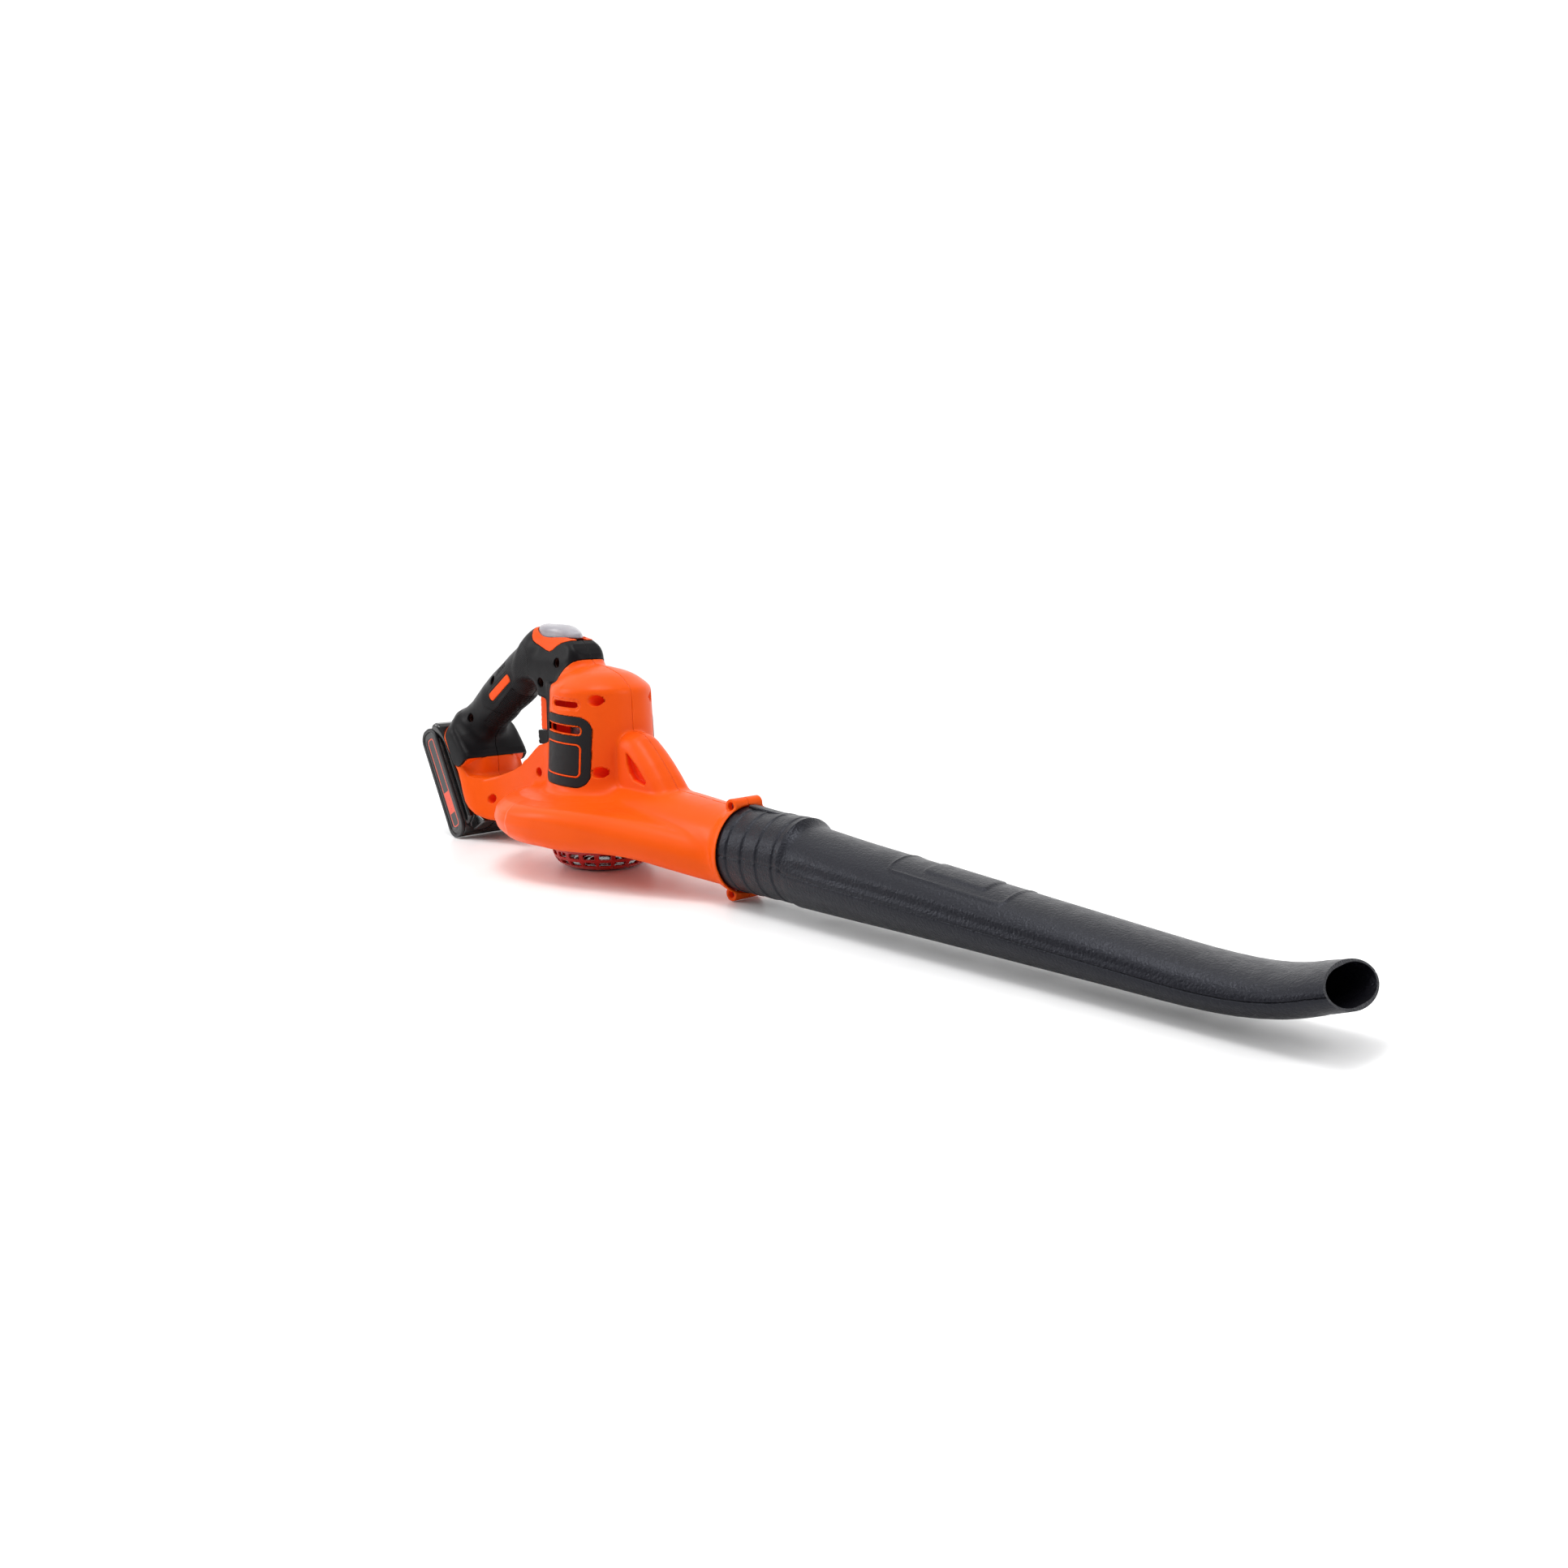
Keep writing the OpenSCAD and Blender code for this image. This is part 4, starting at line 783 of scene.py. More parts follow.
def pack_inner(x, y, z):
    u, v = to_bf(x, z)
    ay = np.abs(y)
    a = smax(smax(stadium(u, v, 0.1, 11.4), ay - F(34.75), 0.6), F(0.05) - v, 0.3)
    w = table(u, [-6, 2, 8, 14, 20, 30, 120], [36.8, 36.8, 36.2, 34.4, 33.2, 33, 33])
    b = smax(poly(u, v, [(1.4, 8), (-0.6, 12), (-0.2, 17), (2.4, 20), (6, 21.5), (100, 21.5), (103.6, 14), (103.6, 8)]), ay - w, 3)
    a = smin(a, b, 1.2)
    a = np.minimum(a, rbox(u, y, v, (14, -17, 18), (90, 17, 30.3), 0.8))
    a = np.minimum(a, rbox(u, y, v, (14, -23.5, 26.5), (86, 23.5, 30.3), 0.6))
    lb = smax(poly(u, v, [(86.5, 12), (86.5, 20.6), (94, 22.6), (103, 28.6), (109.6, 34.6), (111.2, 34.4), (111.2, 12)]) - F(0.7), ay - F(27.8), 2)
    a = smin(a, lb, 1)
    a = smax(a, -rbox(u, y, v, (5, -31.5, -6), (107, 31.5, 10.4), 0.3), 0.4)
    for yy in (-10, -4, 4, 10):
        a = smax(a, -rbox(u, y, v, (12, yy - 1.4, 22), (46, yy + 1.4, 36), 0.3), 0.3)
    a = smax(a, -rbox(u, y, v, (12, -14, 8), (72, 14, 22.2), 0.4), 0.3)
    a = smax(a, -rbox(u, y, v, (95, -13.5, 12.4), (108.5, 13.5, 22.4), 0.3), 0.3)
    a = smax(a, -rbox(u, y, v, (108.2, -13.5, 5.4), (120, 13.5, 30.4), 0.3), 0.5)
    return smax(a, -rbox(u, y, v, (95, -6.7, 12.4), (101.4, 6.7, 60), 0.3), 0.3)


def latch(x, y, z):
    u, v = to_bf(x, z)
    a = rbox(u, y, v, (109, -12.8, 9), (113.1, 12.8, 29), 1.2)
    b = rbox(u, y, v, (96, -12.8, 17.5), (111, 12.8, 21), 0.4)
    c = rbox(u, y, v, (96, -6, 19), (100, 6, 33), 0.5)
    d = np.minimum(a, np.minimum(b, c))
    for i in range(4):
        d = smax(d, -(hyp(u - F(113.8), v - F(12.6 + i * 4.2)) - F(1.2)), 0.4)
    return d


# ---------------------------------------------------------------- materials
def lin(c):
    return tuple(((v / 12.92) if v <= 0.04045 else ((v + 0.055) / 1.055)**2.4) for v in c)


class Mat:
    def __init__(self, name):
        self.m = bpy.data.materials.new(name)
        self.m.use_nodes = True
        self.t = self.m.node_tree
        self.t.nodes.clear()
        self.out = self.t.nodes.new("ShaderNodeOutputMaterial")
        self.b = self.t.nodes.new("ShaderNodeBsdfPrincipled")
        self.t.links.new(self.b.outputs["BSDF"], self.out.inputs["Surface"])
        self.tc = self.t.nodes.new("ShaderNodeTexCoord").outputs["Object"]
        self.normal = None

    def node(self, kind, **kw):
        n = self.t.nodes.new(kind)
        for k, v in kw.items():
            setattr(n, k, v)
        return n

    def link(self, a, b):
        self.t.links.new(a, b)

    def noise(self, scale, detail=3.0, rough=0.5, vec=None, lac=2.0):
        n = self.node("ShaderNodeTexNoise")
        n.inputs["Scale"].default_value = scale
        n.inputs["Detail"].default_value = detail
        n.inputs["Roughness"].default_value = rough
        n.inputs["Lacunarity"].default_value = lac
        self.link(vec if vec is not None else self.tc, n.inputs["Vector"])
        return n.outputs["Fac"]

    def voronoi(self, scale, feature="F1"):
        n = self.node("ShaderNodeTexVoronoi", feature=feature)
        n.inputs["Scale"].default_value = scale
        self.link(self.tc, n.inputs["Vector"])
        return n.outputs["Distance"]

    def attr(self, name):
        n = self.node("ShaderNodeAttribute", attribute_name=name)
        return n.outputs["Fac"]

    def ramp(self, fac, stops):
        n = self.node("ShaderNodeValToRGB")
        e = n.color_ramp.elements
        while len(e) < len(stops):
            e.new(0.5)
        for q, (pos, col) in zip(e, stops):
            q.position = pos
            q.color = (*col, 1) if len(col) == 3 else col
        self.link(fac, n.inputs["Fac"])
        return n.outputs["Color"]

    def mapr(self, fac, a, b, c, d):
        n = self.node("ShaderNodeMapRange")
        for k, v in zip(("From Min", "From Max", "To Min", "To Max"), (a, b, c, d)):
            n.inputs[k].default_value = v
        self.link(fac, n.inputs["Value"])
        return n.outputs["Result"]

    def math(self, op, a, b=None, clamp=False):
        n = self.node("ShaderNodeMath", operation=op, use_clamp=clamp)
        for i, v in enumerate((a, b)):
            if v is None:
                continue
            if isinstance(v, (int, float)):
                n.inputs[i].default_value = v
            else:
                self.link(v, n.inputs[i])
        return n.outputs[0]

    def mix(self, fac, a, b):
        n = self.node("ShaderNodeMix", data_type="RGBA")
        for k, v in ((0, fac), (6, a), (7, b)):
            if isinstance(v, tuple):
                n.inputs[k].default_value = (*v, 1)
            elif isinstance(v, (int, float)):
                n.inputs[k].default_value = v
            else:
                self.link(v, n.inputs[k])
        return n.outputs[2]

    def bump(self, h, strength=0.2, dist=0.0003):
        n = self.node("ShaderNodeBump")
        n.inputs["Strength"].default_value = strength
        n.inputs["Distance"].default_value = dist
        self.link(h, n.inputs["Height"])
        if self.normal is not None:
            self.link(self.normal, n.inputs["Normal"])
        self.normal = n.outputs["Normal"]
        self.link(self.normal, self.b.inputs["Normal"])

    def stripes(self, k):
        n = self.node("ShaderNodeVectorMath", operation="DOT_PRODUCT")
        self.link(self.tc, n.inputs[0])
        n.inputs[1].default_value = k
        return self.math("SINE", n.outputs["Value"])

    def color(self, v):
        if isinstance(v, tuple):
            self.b.inputs["Base Color"].default_value = (*v, 1)
        else:
            self.link(v, self.b.inputs["Base Color"])

    def rough(self, v):
        if isinstance(v, (int, float)):
            self.b.inputs["Roughness"].default_value = v
        else:
            self.link(v, self.b.inputs["Roughness"])

    def set(self, **kw):
        for k, v in kw.items():
            self.b.inputs[k.replace("_", " ")].default_value = v


def plastic(name, c0, c1, r0, r1, grain=1500, gstr=0.12, gdist=0.00012, coat=0.0, coat_r=0.2, wear=None, spec=0.5, sss=0.0, sss_col=None):
    m = Mat(name)
    big = m.noise(22, 3)
    mid = m.noise(150, 4)
    col = m.mix(m.mapr(big, 0.35, 0.65, 0, 1), c0, c1)
    if wear:
        geo = m.node("ShaderNodeNewGeometry")
        e = m.mapr(geo.outputs["Pointiness"], 0.53, 0.62, 0, 1)
        e = m.math("MULTIPLY", e, m.mapr(mid, 0.4, 0.6, 0, 1))
        col = m.mix(m.math("MULTIPLY", e, wear[1]), col, wear[0])
    m.color(col)
    m.rough(m.mapr(mid, 0.3, 0.7, r0, r1))
    m.set(Coat_Weight=coat, Coat_Roughness=coat_r, Specular_IOR_Level=spec)
    if sss:
        m.b.inputs["Subsurface Weight"].default_value = sss
        m.b.inputs["Subsurface Radius"].default_value = (0.6, 0.18, 0.05)
        m.b.inputs["Subsurface Scale"].default_value = 0.003
    m.bump(m.noise(grain, 2.5, 0.6), gstr, gdist)
    return m


ORANGE = lin((0.915, 0.335, 0.05))
ORANGE2 = lin((0.90, 0.32, 0.045))
RED = lin((0.80, 0.07, 0.045))


def orange_mat(name, c0=ORANGE, c1=ORANGE2, r0=0.3, r1=0.4, painted_depth_shade=False):
    m = Mat(name)
    big = m.noise(22, 3)
    mid = m.noise(150, 4)
    col = m.mix(m.mapr(big, 0.35, 0.65, 0, 1), c0, c1)
    geo = m.node("ShaderNodeNewGeometry")
    e = m.mapr(geo.outputs["Pointiness"], 0.53, 0.62, 0, 1)
    e = m.math("MULTIPLY", e, m.mapr(mid, 0.4, 0.6, 0, 1))
    col = m.mix(m.math("MULTIPLY", e, 0.3), col, lin((0.98, 0.46, 0.15)))
    m.set(Specular_IOR_Level=0.12)
    if painted_depth_shade:
        # painted shade and glow inside openings: points deep in the wall are painted a darker red and given a faint red
        # emission in place of light through the wall; points marked negative, under the soft cover and round the screw
        # holes, are painted near black as shade
        at = m.attr("painted_depth_shade")
        f = m.math("MAXIMUM", at, 0.0)
        # painted shade: near black where the depth value is negative
        col = m.mix(m.math("MULTIPLY", m.math("MAXIMUM", m.math("MULTIPLY", at, -1.0), 0.0), 0.97), col, lin((0.05, 0.045, 0.05)))
        # painted shade: darker red deeper in the wall
        col = m.mix(m.math("MULTIPLY", f, 0.75), col, lin((0.84, 0.15, 0.05)))
        # painted glow: weak red emission on the same deep points, though the shell is no lamp
        m.b.inputs["Emission Color"].default_value = (*lin((0.72, 0.07, 0.03)), 1)
        m.link(m.math("MULTIPLY", f, 0.3), m.b.inputs["Emission Strength"])
    m.color(col)
    m.rough(m.mapr(mid, 0.3, 0.7, r0, r1))
    m.bump(m.noise(1300, 2.5, 0.6), 0.1, 0.0001)
    return m


M = {}
# shell material with painted shade and painted glow in its openings
M["orange"] = orange_mat("orange_shell_satin", painted_depth_shade=True)
M["trim"] = orange_mat("orange_trim_satin", lin((0.93, 0.32, 0.055)), lin((0.91, 0.30, 0.05)), 0.36, 0.46)


def cover_mat():
    m = Mat("soft_black_grip")
    big = m.noise(22, 3)
    mid = m.noise(150, 4)
    col = m.mix(m.mapr(big, 0.35, 0.65, 0, 1), lin((0.066, 0.062, 0.072)), lin((0.054, 0.05, 0.06)))
    ln = m.mapr(m.attr("line"), 0.25, 0.6, 1, 0)
    col = m.mix(m.math("MULTIPLY", ln, 0.75), col, lin((0.03, 0.028, 0.03)))
    m.color(col)
    m.rough(m.mapr(mid, 0.3, 0.7, 0.38, 0.48))
    m.set(Specular_IOR_Level=0.13)
    tex = m.attr("tex")
    a = m.stripes((2300.0, 0.0, 3300.0))
    b = m.stripes((4100.0, 0.0, -600.0))
    chev = m.math("MULTIPLY", m.math("MAXIMUM", a, b), tex)
    m.bump(chev, 0.55, 0.0002)
    m.bump(m.math("MULTIPLY", ln, -1.0), 0.7, 0.0004)
    m.bump(m.noise(2200, 2.5, 0.6), 0.3, 0.00012)
    return m


M["cover"] = cover_mat()
M["panel"] = plastic("panel_black_grain", lin((0.10, 0.095, 0.102)), lin((0.085, 0.08, 0.088)), 0.46, 0.58, grain=1500, gstr=0.4, gdist=0.00016, spec=0.2)
M["grille"] = plastic("inlet_red_gloss", lin((0.80, 0.055, 0.04)), lin((0.72, 0.04, 0.03)), 0.2, 0.3, grain=900, gstr=0.06, coat=0.4, coat_r=0.12)
M["frame"] = plastic("pack_frame_grey", lin((0.135, 0.135, 0.145)), lin((0.115, 0.115, 0.125)), 0.34, 0.44, grain=1900, gstr=0.3, spec=0.45)
M["gloss"] = plastic("pack_black_gloss", lin((0.05, 0.05, 0.055)), lin((0.04, 0.04, 0.045)), 0.16, 0.26, grain=700, gstr=0.05, coat=0.5, coat_r=0.1)


def tube_mat():
    m = Mat("tube_black_coarse")
    big = m.noise(18, 3)
    col = m.mix(m.mapr(big, 0.35, 0.65, 0, 1), lin((0.064, 0.061, 0.083)), lin((0.055, 0.052, 0.072)))
    m.color(col)
    m.rough(m.mapr(m.noise(160, 3), 0.3, 0.7, 0.3, 0.42))
    m.set(Specular_IOR_Level=0.28)
    m.b.inputs["Specular Tint"].default_value = (0.82, 0.86, 1.0, 1)
    cell = m.voronoi(520, "SMOOTH_F1")
    m.bump(m.math("ADD", m.math("MULTIPLY", cell, 0.7), m.noise(760, 2, 0.6)), 0.8, 0.0004)
    return m


M["tube"] = tube_mat()


def inlay_mat():
    m = Mat("pack_inlay_two_tone")
    big = m.noise(60, 3)
    blk = m.mix(m.mapr(big, 0.35, 0.65, 0, 1), lin((0.085, 0.085, 0.09)), lin((0.07, 0.07, 0.075)))
    f = m.mapr(m.attr("line"), 0.35, 0.65, 0, 1)
    m.color(m.mix(f, blk, lin((0.88, 0.27, 0.12))))
    m.rough(m.mapr(m.noise(300, 3), 0.3, 0.7, 0.26, 0.36))
    m.set(Coat_Weight=0.25, Coat_Roughness=0.18)
    m.bump(m.noise(1500, 2), 0.12, 0.0001)
    return m


M["inlay"] = inlay_mat()


def frosted():
    m = Mat("switch_frosted_grey")
    big = m.noise(90, 3)
    m.color(m.mix(m.mapr(big, 0.35, 0.65, 0, 1), lin((0.73, 0.72, 0.745)), lin((0.68, 0.67, 0.70))))
    m.rough(m.mapr(m.noise(500, 3), 0.3, 0.7, 0.3, 0.42))
    m.set(Transmission_Weight=0.35, Subsurface_Weight=0.25, Coat_Weight=0.3, Coat_Roughness=0.25, IOR=1.46)
    m.b.inputs["Subsurface Radius"].default_value = (1, 1, 1)
    m.b.inputs["Subsurface Scale"].default_value = 0.004
    m.bump(m.noise(1300, 2), 0.15, 0.0001)
    return m


M["switch"] = frosted()


def metal(name, col, col2, r0, r1, scale=400):
    m = Mat(name)
    m.color(m.mix(m.mapr(m.noise(60, 4), 0.35, 0.65, 0, 1), col, col2))
    m.set(Metallic=1.0)
    m.rough(m.mapr(m.noise(scale, 4), 0.3, 0.7, r0, r1))
    m.bump(m.noise(scale * 3, 2), 0.1, 0.00008)
    return m


M["steel"] = metal("steel_zinc", lin((0.62, 0.62, 0.63)), lin((0.54, 0.55, 0.57)), 0.24, 0.38)
M["lam"] = metal("lamination_steel", lin((0.50, 0.44, 0.38)), lin((0.44, 0.38, 0.33)), 0.35, 0.5)
M["brass"] = metal("brass_part", lin((0.80, 0.60, 0.32)), lin((0.72, 0.52, 0.27)), 0.25, 0.4)
M["alloy"] = metal("plate_alloy", lin((0.55, 0.56, 0.58)), lin((0.48, 0.49, 0.51)), 0.35, 0.5)
M["magnet"] = plastic("magnet_ferrite", lin((0.19, 0.19, 0.20)), lin((0.15, 0.15, 0.16)), 0.6, 0.75, grain=1500, gstr=0.3)
M["fan"] = plastic("fan_black", lin((0.12, 0.12, 0.125)), lin((0.10, 0.10, 0.105)), 0.4, 0.52, grain=1200, gstr=0.2)
M["wrap"] = plastic("cell_wrap", lin((0.10, 0.30, 0.50)), lin((0.08, 0.26, 0.45)), 0.3, 0.4, grain=800, gstr=0.08)
M["holder"] = plastic("holder_white", lin((0.82, 0.82, 0.80)), lin((0.76, 0.76, 0.74)), 0.45, 0.55, grain=1400, gstr=0.15)
M["board"] = plastic("board_green", lin((0.08, 0.30, 0.16)), lin((0.07, 0.26, 0.14)), 0.35, 0.5, grain=900, gstr=0.1)
M["wire"] = plastic("wire_red", lin((0.70, 0.08, 0.06)), lin((0.62, 0.06, 0.05)), 0.4, 0.5, grain=1500, gstr=0.1)

NODE_MATS = {"housing_screws": "steel", "motor_can": "steel", "magnets": "magnet", "motor_end_bell": "fan", "motor_plate": "alloy", "motor_screws": "steel",
             "bearing_lower": "steel", "bearing_upper": "steel", "motor_shaft": "steel", "armature": "lam", "commutator": "brass", "fan": "fan", "fan_nut": "steel",
             "switch_module": "fan", "motor_wires": "wire", "terminal_block": "fan", "terminal_blades": "brass", "pack_cells": "wrap", "cell_holder": "holder",
             "cell_straps": "steel", "pack_board": "board", "pack_contacts": "brass", "pack_screws": "steel", "latch_spring": "steel"}
for nm, mk in NODE_MATS.items():
    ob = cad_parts[nm]
    if not ob.data.materials:
        ob.data.materials.append(M[mk].m)
    for i in range(len(ob.material_slots)):
        ob.material_slots[i].material = M[mk].m

# ---------------------------------------------------------------- pieces
K = 1.0


def add(name, f, lo, hi, h, mat, body, node, attrs=None, slack=1.35, coarse=None):
    ob = sdf_object(name, f, lo, hi, h * (K if coarse else 1.0), [M[mat].m], attrs, slack=slack, coarse=coarse)
    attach(ob, body)
    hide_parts(node)
    return ob


def inner_mask(P):
    x, y, z = P[:, 0], P[:, 1], P[:, 2]
    c = cavity(x, y, z)
    e = envelope(x, y, z)
    h = np.minimum(holes(x, y, z), np.minimum(slot1(x, z, 2.5), slot2(x, z, 2.5)))
    u, v = to_bf(x, z)
    return (np.abs(c) < 1.0) & (e < -2.0) & (h > 3) & (x < 174) & (np.abs(y) > 1.2) & ((x < 40) | (np.abs(duct(x, y, z) + 2.6) > 1.3)) & ((v > 26) | (x > -120)) & (z < 190) & (hyp(x, y) + np.maximum(z - 30, 0) * 3 > 50)


for side, nm in ((-1, "right"), (1, "left")):
    ylo, yhi = (-97.5, 1) if side < 0 else (-1, 81)
    # the depth attribute given here drives the painted shade and glow in the shell's openings
    add("housing_" + nm + "_shell", half_of(side), (-222, ylo, -1), (190, yhi, 208), SZ, "orange", "housing", "housing_" + nm,
        attrs={"painted_depth_shade": painted_depth_shade_of}, coarse=(inner_mask, 3.2))
    ylo, yhi = (-39, 1) if side < 0 else (-1, 39)
    add("handle_cover_" + nm + "_skin", cover_of(side), (-220, ylo, 66), (-3, yhi, 207), 0.9, "cover", "housing", "handle_cover_" + nm,
        attrs={"tex": cover_marks, "line": grip_lines})
    ylo, yhi = (-49, -17) if side < 0 else (17, 49)
    add("side_panel_" + nm + "_plate", panel_of(side), (-28, ylo, 73), (32, yhi, 139), 0.7, "panel", "housing", "side_panel_" + nm)
    add("panel_line_" + nm, ring_of(side), (-24, ylo, 80), (26, yhi, 112), 0.55, "trim", "housing", "panel_frame_" + nm)
    ylo, yhi = (-24, -7) if side < 0 else (7, 24)
    add("grip_insert_" + nm + "_strip", insert_of(side), (-153, ylo, 130), (-108, yhi, 167), 0.55, "trim", "housing", "grip_insert_" + nm)
    ylo, yhi = (-39, -34) if side < 0 else (34, 39)
    add("pack_frame_" + nm + "_rim", frame_of(side), (-250, ylo, -15), (-165, yhi, 110), 0.8, "frame", "battery_pack", "pack_frame_" + nm)
    add("pack_plate_" + nm + "_inlay", plate_of(side), (-250, ylo, -15), (-165, yhi, 110), 0.7, "inlay", "battery_pack", "pack_plate_" + nm,
        attrs={"line": plate_line})

add("finger_rib_strip", rib, (-81, -10, 111), (-63, 10, 145), 0.5, "trim", "housing", "finger_rib")
add("switch_surround_trim", surround, (-90, -22, 183), (-20, 22, 207), 0.6, "trim", "housing", "switch_surround")
add("thumb_slide_key", slide, (-83, -13, 179), (-15, 13, 209), 0.6, "switch", "slide_switch", "thumb_slide")
add("inlet_grille_basket", grille, (-49, -49, -1), (49, 49, 30), 0.9, "grille", "housing", "inlet_grille")
add("pack_case_outer_shell", pack_outer, (-252, -36, -18), (-160, 36, 110), 1.1, "gloss", "battery_pack", "pack_case_outer")
add("pack_case_inner_shell", pack_inner, (-240, -38, -15), (-145, 38, 125), 1.0, "gloss", "battery_pack", "pack_case_inner")
add("pack_latch_key", latch, (-185, -14, 2), (-150, 14, 40), 0.6, "gloss", "latch_key", "pack_latch")


# ---------------------------------------------------------------- blower tube
def tilt(x):
    x = np.asarray(x, float)
    return np.radians(np.where(x < 560, -2.6, -2.6 + (35 + 2.6) * np.clip((x - 560) / 96, 0, None)**1.15))


ST = np.array([[187.4, 39.5, 33.2, 33.6], [250, 37.6, 31.3, 32.8], [300, 34.9, 28.4, 33.2], [360, 32.6, 25.6, 33], [420, 30, 23, 32.6],
               [480, 27.3, 20.4, 32.2], [530, 25, 18.2, 31.8], [570, 23.2, 16.6, 31.6], [598, 23.6, 15.6, 31.6], [622, 26.6, 14.6, 31.6],
               [642, 32.6, 13.8, 31.8], [656, 39.8, 13.4, 32]])


def station(x):
    f = lambda q, k: np.interp(q, ST[:, 0], ST[:, k])
    g = lambda k: (f(x - 12, k) + 2 * f(x, k) + f(x + 12, k)) / 4
    return g(1), g(2), g(3)


def tube_half(side):
    """outer and inner grids of one half of the tube, mm"""
    # x stations: the stepped collar, then the long loft
    xs = [181.6, 183, 184.6, 185.4, 187, 190, 194, 196.4, 197, 197.5, 199, 204, 210, 212.4, 213, 213.5, 216, 222, 227, 228.4, 229, 229.5, 232, 238, 243.4, 245.4, 246, 246.6, 248,
          250, 252, 254.6, 257, 260]
    xs += list(np.arange(264, 342, 5.0)) + list(np.arange(342, 448, 1.2)) + list(np.arange(450, 560, 5.0)) + list(np.arange(560, 655, 3.0))
    if xs[-1] < 655.8:
        xs.append(655.8)
    # outer radius of the collar
    rc = np.interp(xs, [181.6, 182.2, 185.2, 186, 196.6, 197.4, 212.6, 213.4, 228.6, 229.4, 245.6, 246.6, 252.4, 255],
                   [27, 27, 33.5, 33.6, 33.6, 32.9, 33.4, 32.8, 33.3, 32.7, 33.1, 32.5, 33.1, 32.0])
    n = 72
    rows_o, rows_i = [], []
    for x, r in zip(xs, rc):
        c, h, w = station(x)
        t = float(tilt(x))
        b = float(np.clip((x - 251.6) / 7, 0, 1))
        b = b * b * (3 - 2 * b)
        cc, hh, ww = 40.6 * (1 - b) + c * b, r * (1 - b) + h * b, r * (1 - b) + w * b
        tt = t * b
        wi = 2.0 if x > 250 else 3.0
        if x >= 640:
            wi = 2.4
        ro, ri = [], []
        for i in range(n + 1):
            a = math.pi * i / n
            if side < 0:
                a += math.pi
            ca, sa = math.cos(a), math.sin(a)
            # low crease on the flank above the parting
            k = 1.0
            el = math.degrees(math.asin(max(-1, min(1, sa))))
            if side > 0 and b > 0:
                fade = float(np.clip((x - 256) / 20, 0, 1) * np.clip((600 - x) / 90, 0, 1))
                k = 1 - 0.030 * fade * math.exp(-((el - 13) / 7.0)**2) + 0.006 * fade * math.exp(-((el - 27) / 5.0)**2)
            y, zz = ww * k * ca, hh * k * sa
            # groove of the parting: the edge draws in a little
            e = min(i, n - i)
            pull = 0.55 if e == 0 else 0.0
            m = math.hypot(y, zz)
            yo, zo = y * (m - pull) / m, zz * (m - pull) / m
            if e == 0:
                zo = (0.05 if side > 0 else -0.05)
            # raised fields on the top
            lift = 0.0
            if side > 0:
                q = float(rrect(np.array([x], F), np.array([yo], F), 346, 444, -21, 21, 6)[0])
                lift += 0.7 * float(np.clip((1.3 - abs(q + 0.8)) / 0.7, 0, 1))
                q = float(rrect(np.array([x], F), np.array([yo], F), 372, 424, -13, 13, 3.5)[0])
                lift += 1.0 * float(np.clip(-q / 1.0 + 0.2, 0, 1))
            m = math.hypot(yo, zo)
            yo, zo = yo * (m + lift) / m, zo * (m + lift) / m
            mi = math.hypot(y, zz)
            yi, zi = y * (mi - wi) / mi, zz * (mi - wi) / mi
            if x < 250:
                f = (31.0 - 3.2 * np.clip((190 - x) / 6, 0, 1)) / r if x > 186 else 24.8 / 27
                yi, zi = ww * ca * min(f, 0.93), hh * sa * min(f, 0.93)
            # split plane falls slightly towards the mouth in the collar
            ro.append((x - zo * math.sin(tt), yo, cc + zo * math.cos(tt)))
            ri.append((x - zi * math.sin(tt), yi, cc + zi * math.cos(tt)))
        rows_o.append(ro)
        rows_i.append(ri)
    return xs, rows_o, rows_i


def loft_piece(name, side):
    xs, ro, ri = tube_half(side)
    # spigot that goes into the duct
    pre_o, pre_i = [], []
    for x, r in ((157, 26.3), (157.6, 26.8), (159, 27), (170, 27), (181.2, 27)):
        a_o, a_i = [], []
        for i in range(73):
            a = math.pi * i / 72 + (0 if side > 0 else math.pi)
            a_o.append((x, r * math.cos(a), 40.6 + r * math.sin(a)))
            a_i.append((x, 24.8 * math.cos(a), 40.6 + 24.8 * math.sin(a)))
        pre_o.append(a_o)
        pre_i.append(a_i)
    O = np.array(pre_o + ro)
    I = np.array(pre_i + ri)
    m, n = O.shape[:2]
    P = np.concatenate([O.reshape(-1, 3), I.reshape(-1, 3)])
    idx = np.arange(m * n).reshape(m, n)
    q = []
    flip = True
    A, B, C, D = idx[:-1, :-1], idx[1:, :-1], idx[1:, 1:], idx[:-1, 1:]
    outer = np.stack([A, B, C, D], -1).reshape(-1, 4)
    inner = outer[:, ::-1] + m * n
    e0 = np.stack([idx[:-1, 0], idx[:-1, 0] + m * n, idx[1:, 0] + m * n, idx[1:, 0]], -1)
    e1 = np.stack([idx[:-1, -1], idx[1:, -1], idx[1:, -1] + m * n, idx[:-1, -1] + m * n], -1)
    c0 = np.stack([idx[0, :-1], idx[0, 1:], idx[0, 1:] + m * n, idx[0, :-1] + m * n], -1)
    c1 = np.stack([idx[-1, :-1], idx[-1, :-1] + m * n, idx[-1, 1:] + m * n, idx[-1, 1:]], -1)
    Q = np.concatenate([outer, inner, e0, e1, c0, c1])
    ob = mesh_object(name, P, Q, None, None, [M["tube"].m])
    return ob


for side, nm, node in ((1, "tube_upper_half", "tube_upper"), (-1, "tube_lower_half", "tube_lower")):
    ob = loft_piece(nm, side)
    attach(ob, "blower_tube")
    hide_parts(node)
    # outward normals
    me = ob.data
    import bmesh
    bm = bmesh.new()
    bm.from_mesh(me)
    bmesh.ops.recalc_face_normals(bm, faces=bm.faces)
    bm.to_mesh(me)
    bm.free()
    try:
        me.set_sharp_from_angle(angle=math.radians(38))
    except Exception:
        pass

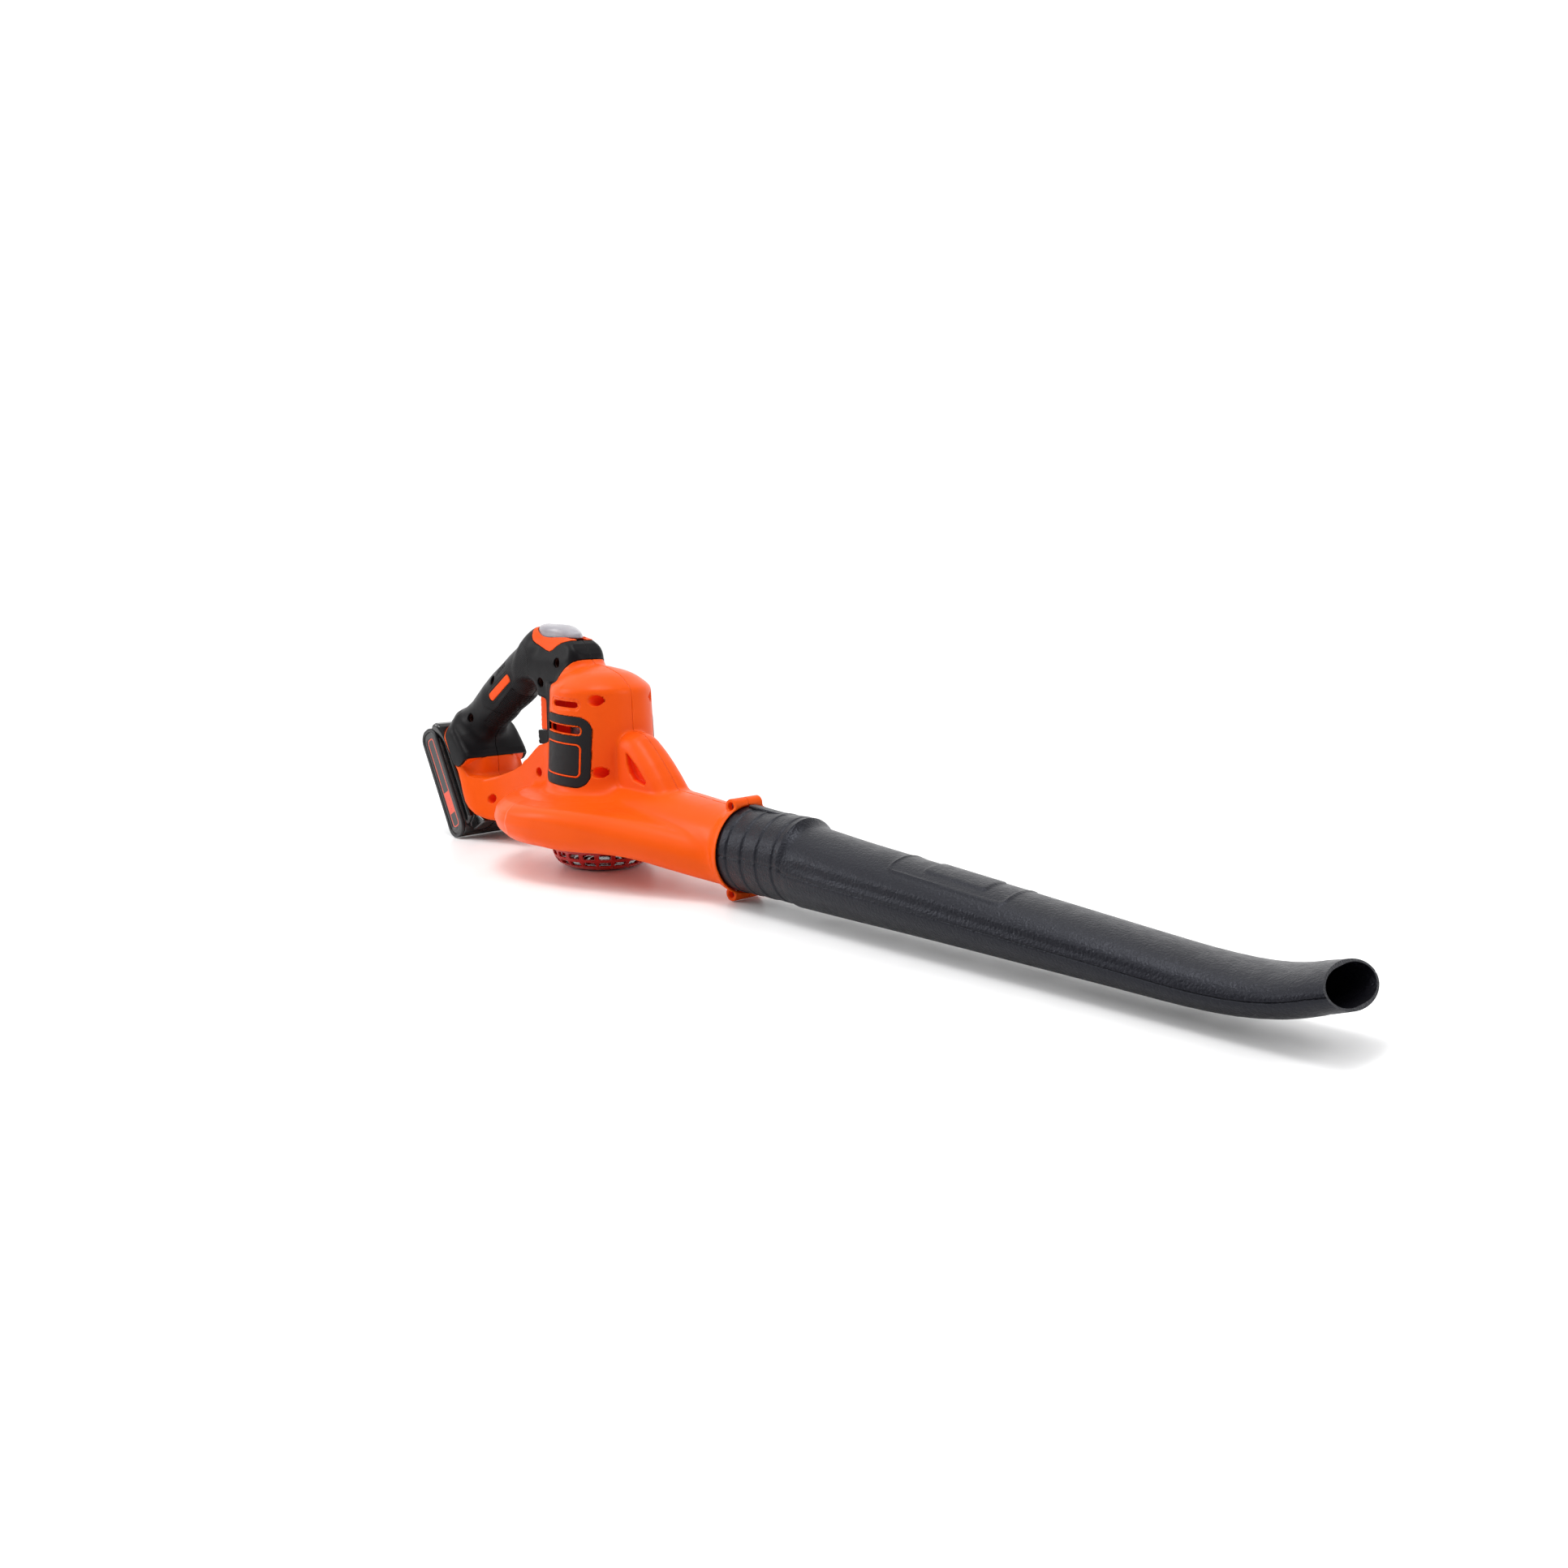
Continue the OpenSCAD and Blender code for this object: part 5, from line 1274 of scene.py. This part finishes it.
# key rib on the collar
P, Q, N = nets(lambda x, y, z: smax(rbox(x, y, z - (z * 0) + (x - F(191.6)) * F(0.0699), (191.6, -3.8, 71.8), (252.6, 3.8, 76.2), 0.8), hyp(y, z - F(40.6)) * 0 - F(1), 0.1), (190, -5, 64), (254, 5, 78), 0.8 * K)
rib_ob = mesh_object("tube_key_rib", P, Q, N, None, [M["tube"].m])
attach(rib_ob, "blower_tube")
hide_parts("tube_upper")

# ---------------------------------------------------------------- floor, light, camera
bpy.ops.mesh.primitive_grid_add(x_subdivisions=8, y_subdivisions=8, size=9, location=(0, 0, -0.0004))
floor = bpy.context.object
floor.name = "studio_floor"
fm = Mat("floor_pale")
fm.color(fm.mix(fm.mapr(fm.noise(3, 2), 0.3, 0.7, 0, 1), (0.93, 0.93, 0.935), (0.95, 0.95, 0.952)))
fm.rough(fm.mapr(fm.noise(40, 3), 0.3, 0.7, 0.32, 0.42))
fm.set(Specular_IOR_Level=0.35)
floor.data.materials.append(fm.m)

WORLD_LOW, WORLD_BACK = 0.34, 1.05
world = bpy.data.worlds.new("studio_world")
bpy.context.scene.world = world
world.use_nodes = True
wt = world.node_tree
bg = wt.nodes["Background"]
wc = wt.nodes.new("ShaderNodeTexCoord")


def sweep(direction, a, b):
    d = wt.nodes.new("ShaderNodeVectorMath")
    d.operation = "DOT_PRODUCT"
    d.inputs[1].default_value = direction
    wt.links.new(wc.outputs["Generated"], d.inputs[0])
    r = wt.nodes.new("ShaderNodeMapRange")
    r.interpolation_type = "SMOOTHSTEP"
    for k, v in zip(("From Min", "From Max", "To Min", "To Max"), (a, b, 0.0, 1.0)):
        r.inputs[k].default_value = v
    wt.links.new(d.outputs["Value"], r.inputs["Value"])
    return r.outputs["Result"]


def wmath(op, a, b):
    n = wt.nodes.new("ShaderNodeMath")
    n.operation = op
    for i, v in enumerate((a, b)):
        if isinstance(v, (int, float)):
            n.inputs[i].default_value = v
        else:
            wt.links.new(v, n.inputs[i])
    return n.outputs[0]


back = sweep((-0.713, 0.701, 0.0), 0.25, 0.72)      # bright sweep behind the object
roof = sweep((0.0, 0.0, 1.0), 0.55, 0.95)
val = wmath("ADD", WORLD_LOW, wmath("MULTIPLY", back, WORLD_BACK))
val = wmath("ADD", val, wmath("MULTIPLY", roof, 0.25))
bg.inputs["Color"].default_value = (1, 1, 1, 1)
wt.links.new(val, bg.inputs["Strength"])


def area(name, loc, target, size, energy, size_y=None, col=(1, 1, 1)):
    l = bpy.data.lights.new(name, "AREA")
    l.shape = "RECTANGLE"
    l.size = size
    l.size_y = size_y or size
    l.energy = energy
    l.color = col
    o = bpy.data.objects.new(name, l)
    bpy.context.scene.collection.objects.link(o)
    o.location = loc
    o.rotation_euler = (Vector(target) - Vector(loc)).to_track_quat("-Z", "Y").to_euler()
    return o


area("key_top", (0.25, -0.25, 1.5), (0.05, 0, 0.1), 0.6, 9)
area("left_soft", (-1.0, -1.1, 0.75), (-0.1, 0, 0.1), 0.4, 9, 0.8)
area("right_soft", (1.3, 0.5, 0.7), (0.1, 0, 0.1), 0.5, 5, 0.9)
sun = bpy.data.lights.new("fill_sun", "SUN")
sun.energy = 1.0
sun.angle = math.radians(70)
so = bpy.data.objects.new("fill_sun", sun)
bpy.context.scene.collection.objects.link(so)
so.rotation_euler = Vector((0.25, 0.45, -1.0)).to_track_quat("-Z", "Y").to_euler()

cam = bpy.data.cameras.new("camera")
cam.lens = 30.04
cam.sensor_width = 36
cam.clip_start = 0.01
cam.clip_end = 50
co = bpy.data.objects.new("camera", cam)
bpy.context.scene.collection.objects.link(co)
co.location = (0.92032, -0.68231, 0.25358)
be, el = math.radians(44.54), math.radians(9.18)
dv = Vector((-math.cos(be) * math.cos(el), math.sin(be) * math.cos(el), -math.sin(el)))
co.rotation_euler = dv.to_track_quat("-Z", "Y").to_euler()
bpy.context.scene.camera = co
bpy.context.scene.view_settings.view_transform = "Standard"
